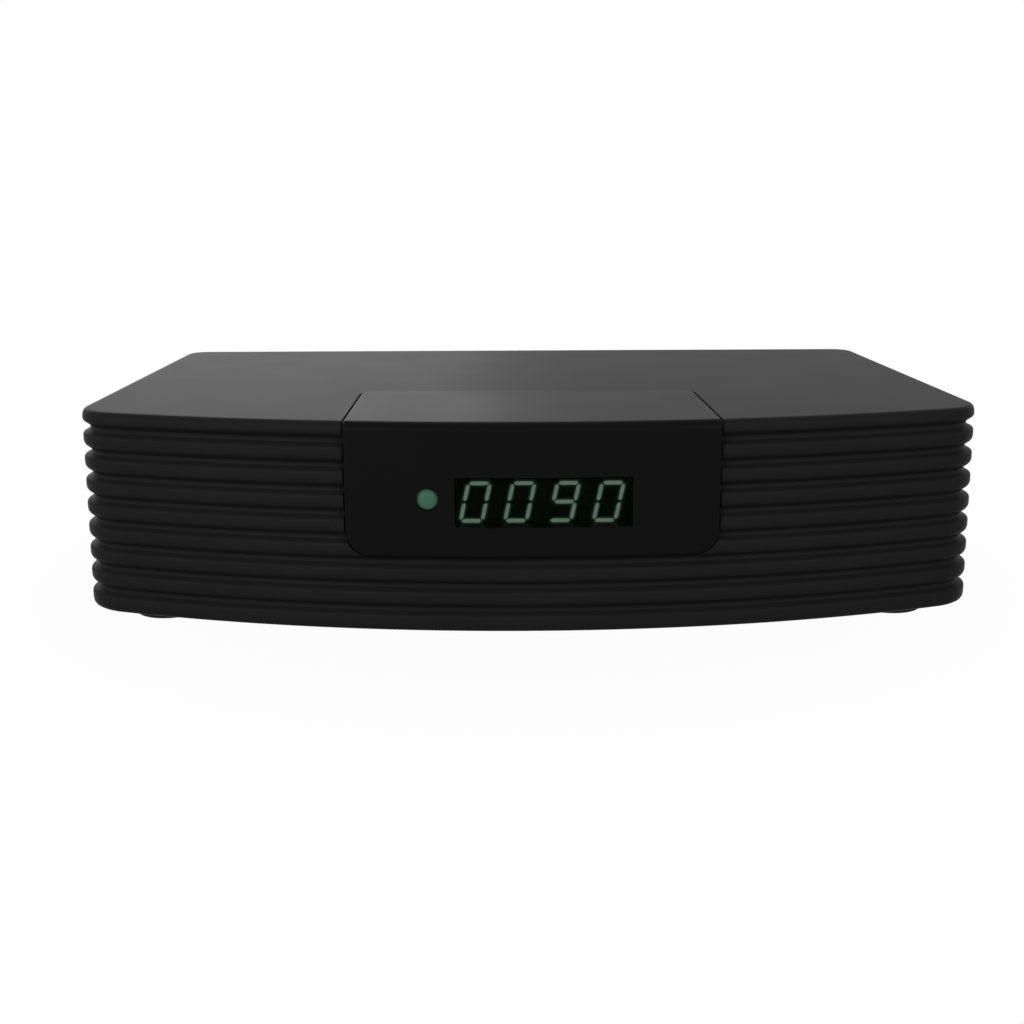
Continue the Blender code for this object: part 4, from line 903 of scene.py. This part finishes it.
# %% [markdown]
# The tray closes the case from below. It follows the same plan as the cover, moved inwards by the
# wall and a gap, with a sill that reaches back between the cover's rear walls. It carries bosses
# for the case screws, standoffs for the main board, slots for air, round seats for the feet and
# deep round holes for the screws. Each kind is gathered in one tool, so it costs one cut or union.

# %% Base tray
tray_inset = wall_thickness + fit_gap
floor_under_z, floor_thickness = tray_low.z, 2.2 * MM
floor_top_z = floor_under_z + floor_thickness
rim_thickness, rim_height = 1.5 * MM, 5.0 * MM
rim_gap_inset = 8.0 * MM
main_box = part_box("main_board")
foot_boxes = four_boxes("foot")
foot_places = [middle(box) for box in foot_boxes]
foot_radius = (foot_boxes[0][1].x - foot_boxes[0][0].x) / 2
foot_top_z = foot_boxes[0][1].z
standoff_places = [middle(box) for box in four_boxes("board_screw")]
boss_radius, standoff_radius, clearance_radius = 4.5 * MM, 3.2 * MM, 1.6 * MM
seat_depth, counterbore_radius, counterbore_depth = 1.0 * MM, 3.0 * MM, 4.0 * MM
sharp_edge = 0.01 * MM
vent_length, vent_width = 24 * MM, 2 * MM
vent_rows, vent_columns = middle(main_box)[1] + np.array((-15, 15)) * MM, 5 * MM * (np.arange(7) - 3)


def vent_slot(name, centre_x, centre_y):
    """Upright tool with round ends that runs along Y through the tray's floor."""
    radius, run = vent_width / 2, (vent_length - vent_width) / 2
    outline = chain(arc((centre_x, centre_y + run), radius, 0, pi, 16),
                    arc((centre_x, centre_y - run), radius, pi, 2 * pi, 16))
    return ring_body(name, outline, [(0, floor_under_z - overrun), (0, floor_top_z + overrun)])


rim_top_z = floor_top_z + rim_height
tray = ring_body("vented_tray", case_outline, soft_profile([
    (-tray_inset - rim_thickness, floor_under_z), (-tray_inset, floor_under_z), (-tray_inset, rim_top_z),
    (-tray_inset - rim_thickness, rim_top_z), (-tray_inset - rim_thickness, floor_top_z)], 0.3 * MM))
rim_gap = bar("rim_gap", rim_gap_inset - half_width, half_width - rim_gap_inset,
              rear_low.y - 1.0 * MM, back_y, floor_top_z, rim_top_z + overrun)
sill = bar("sill", -mouth_half + fit_gap, mouth_half - fit_gap, back_y - 2 * wall_thickness,
           rear_high.y, floor_under_z, floor_top_z, corner=0.5 * MM, edge=0.3 * MM)
bosses = rods("bosses", screw_places, boss_radius, floor_top_z - overrun, boss_top_z - fit_gap)
standoffs = rods("standoffs", standoff_places, standoff_radius, floor_top_z - overrun,
                 main_box[0].z - fit_gap)
vents = gather("vents", *(vent_slot("vent", x, y) for y in vent_rows for x in vent_columns))
foot_seats = rods("foot_seats", foot_places, foot_radius + fit_gap, floor_under_z - overrun,
                  floor_under_z + seat_depth, sharp_edge)
counterbores = rods("counterbores", screw_places, counterbore_radius, floor_under_z - overrun,
                    floor_under_z + counterbore_depth, sharp_edge)
clearances = rods("clearances", screw_places, clearance_radius, floor_under_z, boss_top_z + overrun)
carve(tray, "DIFFERENCE", rim_gap)
carve(tray, "UNION", sill, bosses, standoffs)
carve(tray, "DIFFERENCE", vents, foot_seats, counterbores, clearances)
finish(tray, "base_tray")

# %% [markdown]
# The feet are moulded rubber with a soft rim and two shallow rings on their sole, which give the
# grip. A plain cylinder would do from afar, but a turned line of corners costs no more. The case
# screws have a pan head with a cross recess, which two small crossed bars cut out.

# %% Feet and case screws
sole_ring_depth = 0.25 * MM
sole_rings = [
    (radius - step, depth)
    for radius in (5.0 * MM, 3.2 * MM)
    for step, depth in ((0, 0), (0.2 * MM, sole_ring_depth), (0.6 * MM, sole_ring_depth), (0.8 * MM, 0))
]
sole = [
    (0.5 * MM, foot_top_z), (foot_radius, foot_top_z), (foot_radius, 0.5 * MM),
    (foot_radius - 0.6 * MM, 0), *sole_rings, (0.5 * MM, 0)]
for number, place in enumerate(foot_places, 1):
    finish(turned(f"rubber_foot_{number}", place, sole, 0.15 * MM, "top"), f"foot_{number}")

head_height, shank_radius = 1.6 * MM, 1.3 * MM
recess_half_length, recess_half_width, recess_depth = 1.5 * MM, 0.3 * MM, 1.0 * MM


def pan_screw(name, box):
    """Turned screw whose head is at the lower end of its box, with a cross recess."""
    (x, y), head_z, tip_z = middle(box), box[0].z, box[1].z
    head_radius, head_end_z = (box[1].x - box[0].x) / 2, head_z + head_height
    screw = turned(name, (x, y), [
        (core_radius, head_z), (head_radius * 0.6, head_z), (head_radius, head_z + head_height / 2),
        (head_radius, head_end_z), (shank_radius, head_end_z), (shank_radius, tip_z - shank_radius),
        (core_radius, tip_z)], 0.3 * MM, "top", 40)
    cross = [
        bar("recess", x - a, x + a, y - b, y + b, head_z - overrun, head_z + recess_depth)
        for a, b in ((recess_half_length, recess_half_width), (recess_half_width, recess_half_length))
    ]
    return carve(screw, "DIFFERENCE", *cross)


for number, box in enumerate(case_screws, 1):
    finish(pan_screw(f"pan_screw_{number}", box), f"case_screw_{number}")

# %% [markdown]
# The rear panel fills the mouth of the cover. It is a plate with a wider flange behind it, which
# holds it between the cover and the tray. It is cut out for each socket with a small gap all
# round. Each opening's size comes from the box of its socket, so the two always fit.

# %% Rear panel
socket_box = {name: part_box(name) for name in (
    "power_socket", "data_socket", "video_socket", "scart_socket", "antenna_input", "antenna_output")}
antenna_places = {name: middle(socket_box[name], "front") for name in ("antenna_input", "antenna_output")}
rear_face_y = rear_high.y
flange_y = back_y - wall_thickness - fit_gap
plate_half = mouth_half - fit_gap
video_taper = 1.6 * MM
antenna_hole_radius = 6.5 * MM
cut_low_y, cut_high_y = rear_low.y - overrun, rear_face_y + overrun

plate = bar("socket_plate", -plate_half, plate_half, rear_low.z, rear_high.z,
            flange_y - 0.7 * MM, rear_face_y, "front", corner=0.5 * MM, edge=0.3 * MM)
flange = bar("flange", rear_low.x, rear_high.x, rear_low.z + fit_gap, rear_high.z - fit_gap,
             rear_low.y, flange_y, "front", corner=0.5 * MM, edge=0.2 * MM)
carve(plate, "UNION", flange)


def video_shape(grow=0.0):
    """Video socket's outline, with its two lower corners cut off, as seen from the front."""
    low, high = socket_box["video_socket"]
    return [
        (low.x + video_taper, low.z - grow), (high.x - video_taper, low.z - grow),
        (high.x + grow, low.z + video_taper), (high.x + grow, high.z + grow),
        (low.x - grow, high.z + grow), (low.x - grow, low.z + video_taper)]


def socket_opening(name):
    """Tool for a rectangular opening round a socket."""
    low, high = socket_box[name]
    return bar(name + "_opening", low.x - fit_gap, high.x + fit_gap, low.z - fit_gap, high.z + fit_gap,
               cut_low_y, cut_high_y, "front", corner=0.3 * MM)


openings = [
    *(socket_opening(name) for name in ("power_socket", "data_socket", "scart_socket")),
    ring_body("video_opening", soft_outline(video_shape(fit_gap), 0.3 * MM),
              [(0, cut_low_y), (0, cut_high_y)], "front"),
    *(rod(name + "_opening", place, antenna_hole_radius, cut_low_y, cut_high_y, "front", sharp_edge)
      for name, place in antenna_places.items()),
]
carve(plate, "DIFFERENCE", gather("openings", *openings))
finish(soften(plate, 0.12 * MM), "rear_panel")

# %% [markdown]
# The sockets are what the rear is for. The data and video sockets are folded metal shells. Folding
# a sheet would need its bends one by one, so their outline simply turns in at the mouth and runs
# back down inside. Each holds a plastic tongue with rows of gilded contacts. The power inlet is a
# black block with a bore and a plated pin.

# %% Power, data and video sockets
mouth_y = socket_box["scart_socket"][1].y
shell_wall, shell_lip = 0.45 * MM, 0.2 * MM
contact_start = 0.3 * MM


def shell_and_tongue(kind, outline, depth, corner, edge):
    """Open shell whose outline rolls in at the mouth down to a cavity, and the tongue inside it.

    It gives back the socket's middle across and the tongue's box.
    """
    low, high = socket_box[kind + "_socket"]
    profile = soft_profile([
        (-fit_gap, low.y), (0, low.y), (0, mouth_y), (-shell_wall, mouth_y),
        (-shell_wall, mouth_y - depth)], shell_lip)
    finish(ring_body(kind + "_shell", outline, profile, "front"), kind + "_socket")
    tongue_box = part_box(kind + "_tongue")
    finish(block(kind + "_insert", tongue_box, corner, edge), kind + "_tongue")
    return (low.x + high.x) / 2, tongue_box


def contact_row(name, centres, width, low_z, high_z, back_y, front_y):
    """Flat contacts side by side, each a softened strip, in one piece."""
    return gather(name, *(
        bar("contact", x - width / 2, x + width / 2, low_z, high_z, back_y, front_y, "front",
            corner=0.08 * MM, edge=0.05 * MM)
        for x in centres))


low, high = socket_box["data_socket"]
data_outline = soft_outline(corners_of(low.x, high.x, low.z, high.z), 1.2 * MM)
centre_x, (tongue_low, tongue_high) = shell_and_tongue("data", data_outline, 11 * MM, 0.45 * MM, 0.3 * MM)
data_contacts = contact_row(
    "data_contacts", centre_x + np.array([-3.5, -1, 1, 3.5]) * MM, 1.0 * MM, tongue_low.z - 0.15 * MM,
    tongue_low.z + 0.1 * MM, tongue_low.y + contact_start, tongue_high.y - 0.8 * MM)
finish(data_contacts, "data_tongue", "gold_plate", "plated_metal")

video_outline = soft_outline(video_shape(), 0.8 * MM)
centre_x, (tongue_low, tongue_high) = shell_and_tongue("video", video_outline, 9 * MM, 0.3 * MM, 0.2 * MM)
video_contacts = gather("video_contacts", *(
    contact_row("row", centre_x + (np.arange(count) - (count - 1) / 2) * MM, 0.45 * MM,
                z - 0.1 * MM, z + 0.1 * MM, tongue_low.y + contact_start, tongue_high.y - 0.5 * MM)
    for count, z in ((10, tongue_high.z), (9, tongue_low.z))))
finish(video_contacts, "video_tongue", "gold_plate", "plated_metal")

pin_low, pin_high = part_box("power_socket_pin")
pin_centre, pin_radius = middle((pin_low, pin_high), "front"), (pin_high.x - pin_low.x) / 2
bore_radius, bore_floor_y, funnel = 3.1 * MM, pin_low.y - fit_gap, 0.5 * MM
inlet = block("power_inlet", socket_box["power_socket"], 0.4 * MM, 0.25 * MM)
bore = ring_body("bore", circle(pin_centre), [
    (0, bore_floor_y), (bore_radius, bore_floor_y), (bore_radius, mouth_y - 0.4 * MM),
    (bore_radius + funnel, mouth_y + 0.1 * MM), (0, mouth_y + 0.1 * MM)], "front")
finish(carve(inlet, "DIFFERENCE", bore), "power_socket")
pin = turned("inlet_pin", pin_centre, [
    (0, pin_low.y), (pin_radius, pin_low.y), (pin_radius, pin_high.y), (0, pin_high.y)], 0.6 * MM, steps=32)
finish(pin, "power_socket_pin")

# %% [markdown]
# The SCART socket is the largest. Its housing is a deep black frame with one slanted corner inside,
# so that a plug fits one way only. A contact block fills it, with twenty slots in two staggered
# rows, and a plated blade shows in each of them. Painted slots would look flat from the side, so
# they are cut.

# %% SCART socket
scart_box, contacts_box = socket_box["scart_socket"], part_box("scart_contacts")
scart_x, scart_z = middle(scart_box, "front")
block_low_y, block_high_y = contacts_box[0].y, contacts_box[1].y
field_half, field_rise, slant_x, slant_z = 23.0 * MM, 6.8 * MM, 7.5 * MM, 6.0 * MM
field_margin, rim_drop = 2.0 * MM, 0.6 * MM
slot_pitch, slot_width, slot_height, slot_depth = 3.81 * MM, 1.2 * MM, 3.0 * MM, 8.0 * MM
blade_thickness, blade_rise, blade_sink = 0.5 * MM, 1.2 * MM, 1.0 * MM
slot_x = scart_x + slot_pitch * (np.arange(10)[None] - 4.5 - 0.25 * np.array([[-1], [1]]))
slot_z = scart_z + 2.5 * MM * np.array([-1, 1])


def scart_shape(shrink, reach):
    """Field of the contacts with one slanted lower corner, moved inwards, with softened corners."""
    half, rise = field_half - shrink, field_rise - shrink
    corners = [(-half, -rise), (half - slant_x, -rise), (half, slant_z - rise), (half, rise), (-half, rise)]
    return soft_outline(np.array(corners) + (scart_x, scart_z), reach)


housing = block("scart_frame", scart_box, 0.8 * MM, 0.4 * MM)
field = ring_body("field", scart_shape(0, 0.6 * MM), [
    (0, block_low_y - fit_gap), (0, mouth_y - rim_drop),
    (rim_drop, mouth_y), (rim_drop, mouth_y + overrun)], "front")
finish(carve(housing, "DIFFERENCE", field), "scart_socket")

contact_block = ring_body("contact_block", scart_shape(field_margin, 0.7 * MM),
                          block_profile(block_low_y, block_high_y, 0.4 * MM), "front")
slots = gather("slots", *(
    bar("slot", x - slot_width / 2, x + slot_width / 2, z - slot_height / 2, z + slot_height / 2,
        block_high_y - slot_depth, block_high_y + overrun, "front", corner=0.15 * MM)
    for row, z in zip(slot_x, slot_z) for x in row))
finish(soften(carve(contact_block, "DIFFERENCE", slots), 0.08 * MM), "scart_contacts")
blades = gather("blades", *(
    contact_row("blade_row", row, blade_thickness, z - blade_rise, z + blade_rise,
                block_high_y - slot_depth, block_high_y - blade_sink)
    for row, z in zip(slot_x, slot_z)))
finish(blades, "scart_contacts", slot="plated_metal")

# %% [markdown]
# The aerial input and the loop output are turned and plated. Both reach out of the panel as plain
# barrels with a rolled lip and a collar against the panel. The input holds a sleeve for the plug's
# pin, and the output holds a pin. All four are one line of corners each, as on a lathe.

# %% Aerial sockets
base_y, end_y = socket_box["antenna_input"][0].y, socket_box["antenna_input"][1].y
floor_y = base_y + 2 * MM
seat_y, tip_y = floor_y + fit_gap, end_y - 1.0 * MM
seat_end_y = seat_y + 2 * MM
collar_radius, waist_cut = 6.2 * MM, 0.25 * MM
barrel_sizes = {"antenna_input": (5.6 * MM, 4.75 * MM), "antenna_output": (4.7 * MM, 4.1 * MM)}

for name, (radius, bore_radius) in barrel_sizes.items():
    barrel = turned(name + "_barrel", antenna_places[name], [
        (0, floor_y), (bore_radius, floor_y), (bore_radius, end_y), (radius, end_y),
        (radius, end_y - 1.6 * MM), (radius - waist_cut, end_y - 2.0 * MM),
        (radius - waist_cut, rear_face_y + 0.8 * MM), (radius, rear_face_y + 0.3 * MM),
        (collar_radius, rear_face_y - 0.05 * MM), (collar_radius, base_y), (0, base_y)], 0.25 * MM)
    finish(barrel, name)
sleeve_radius, sleeve_bore, sleeve_seat = 2.0 * MM, 1.2 * MM, 4.45 * MM
sleeve = turned("aerial_sleeve", antenna_places["antenna_input"], [
    (0, tip_y - 5 * MM), (sleeve_bore, tip_y - 5 * MM), (sleeve_bore, tip_y - 0.3 * MM),
    (sleeve_bore + 0.25 * MM, tip_y), (sleeve_radius, tip_y - 0.5 * MM), (sleeve_radius, seat_end_y),
    (sleeve_seat, seat_end_y), (sleeve_seat, seat_y), (0, seat_y)], 0.15 * MM)
finish(sleeve, "antenna_input_contact", "gold_plate")
contact_radius, contact_seat = 1.15 * MM, 3.8 * MM
aerial_pin = turned("aerial_pin", antenna_places["antenna_output"], [
    (0, tip_y), (0.75 * MM, tip_y - 0.05 * MM), (contact_radius, tip_y - 1.1 * MM),
    (contact_radius, seat_end_y), (contact_seat, seat_end_y), (contact_seat, seat_y),
    (0, seat_y)], 0.3 * MM)
finish(aerial_pin, "antenna_output_pin", "gold_plate")

# %% [markdown]
# The camera stands where the photograph was taken from. Trying views by eye never quite ends, so a
# pinhole model was fitted to the case's outline in the picture: its front corners, its back edge
# and the bow of its lower edge. It gave the focal length, a tilt of 13.2 degrees and a place 27 cm
# in front of the middle of the box.

# %% Camera
focal_length, sensor_width = 46.72, 36.0
camera_place = (-6.04 * MM, -272.42 * MM, 73.22 * MM)
camera_tilt, camera_roll, camera_turn = 0.2310, 0.0032, -0.0127
camera_data = bpy.data.cameras.new("camera")
camera_data.sensor_width, camera_data.lens = sensor_width, focal_length
camera_data.clip_start, camera_data.clip_end = 0.01, 20.0
camera = add_object("camera", camera_data)
camera.location = camera_place
camera.rotation_euler = (pi / 2 - camera_tilt, camera_roll, camera_turn)
bpy.context.scene.camera = camera
print("camera lens", camera_data.lens)

# %% [markdown]
# The picture's background is plain white. More light on a pale floor could give it, but it would
# wash out the black box. So the world and the floor are white to the camera and in reflections,
# through Light Path, while the light that falls on the box stays at a plain level. The floor keeps
# a light shadow near the box.

# %% World and floor
world = bpy.data.worlds.new("studio")
bpy.context.scene.world = world
world.use_nodes = True
sky = Shading(world.node_tree)


def shown_directly(shading):
    """1 for rays from the camera, from a glossy surface or through a clear one, and 0 for others."""
    rays = sum(shading.node("ShaderNodeLightPath", output=f"Is {kind} Ray")
               for kind in ("Camera", "Glossy", "Transmission"))
    return rays.at_most(1)


ambient = 0.08
seen = shown_directly(sky)
background = sky.node("ShaderNodeBackground", {}, {
    "Color": grey(1), "Strength": seen + (1 - seen) * ambient})
sky.node("ShaderNodeOutputWorld", {}, {"Surface": background})

floor_half, floor_tone = 30.0, 0.22
shadow_near, shadow_far, shadow_white = 0.07, 0.13, 0.97
floor_corners = np.array(corners_of(-floor_half, floor_half, -floor_half, floor_half))
floor_mesh = bpy.data.meshes.new("floor")
floor_mesh.from_pydata(np.column_stack((floor_corners, np.zeros(4))).tolist(), [], [(0, 1, 2, 3)])
floor = add_object("floor", floor_mesh)
floor_paint = bpy.data.materials.new("floor_paint")
floor_paint.use_nodes = True
paint = Shading(floor_paint.node_tree)
reach = paint.node("ShaderNodeVectorMath", {"operation": "LENGTH"}, {0: paint.place()}, "Value")
whiteness = paint.node("ShaderNodeMapRange", {"interpolation_type": "SMOOTHSTEP"}, {
    "Value": reach, "From Min": shadow_near, "From Max": shadow_far, "To Min": shadow_white})
matt = paint.node("ShaderNodeBsdfDiffuse", {}, {"Color": grey(floor_tone)})
glow = paint.node("ShaderNodeEmission", {}, {"Color": grey(1), "Strength": 1.0})
mixed = paint.node("ShaderNodeMixShader", {}, {0: shown_directly(paint) * whiteness, 1: matt, 2: glow})
paint.node("ShaderNodeOutputMaterial", {}, {"Surface": mixed})
floor_mesh.materials.append(floor_paint)
print("the floor is fully white past, in mm:", shadow_far / MM)

# %% [markdown]
# In the photograph the ribs are lit from the front and their undersides stay dark. A single lamp
# would leave one side black, so two large lamps stand low in front, with a weaker one on the left
# for that side wall. One low behind on the left gives the top plate the sheen that fades towards
# the right. The last one, high behind, lights the top evenly and leaves no reflection of its own.


# %% Lamps
def softbox(name, place, size, power):
    """Square lamp that faces the middle of the box."""
    data = bpy.data.lights.new(name, "AREA")
    data.size, data.energy = size, power
    lamp = add_object(name, data)
    lamp.location = place
    aim = np.array((0, 0, top_z / 2)) - np.array(place)
    lamp.rotation_euler = (
        pi / 2 + np.arctan2(aim[2], np.hypot(*aim[:2])), 0, np.arctan2(-aim[0], aim[1]))
    return lamp


softbox("front_left_lamp", (-0.8, -1.2, 0.45), 0.7, 10.8)
softbox("front_right_lamp", (0.8, -1.2, 0.45), 0.7, 9.5)
softbox("left_lamp", (-1.4, -0.3, 0.45), 0.7, 3.5)
softbox("sheen_lamp", (-0.52, 1.4, 0.35), 1.1, 3.9)
softbox("top_lamp", (0.2, 0.8, 1.2), 0.8, 16).visible_glossy = False
bpy.context.scene.view_settings.view_transform = "Standard"
print("lamps:", [lamp.name for lamp in bpy.data.lights])

# %% [markdown]
# The packed nodes that keep their own shape, such as the boards and the chips, still need their
# finish. Their slots dress them all in one loop.

# %% Finish for the packed nodes
for node, slot in slot_of.items():
    dress(frame["nodes"][node].data, slot)
print("nodes dressed:", len(slot_of))

# %% [markdown]
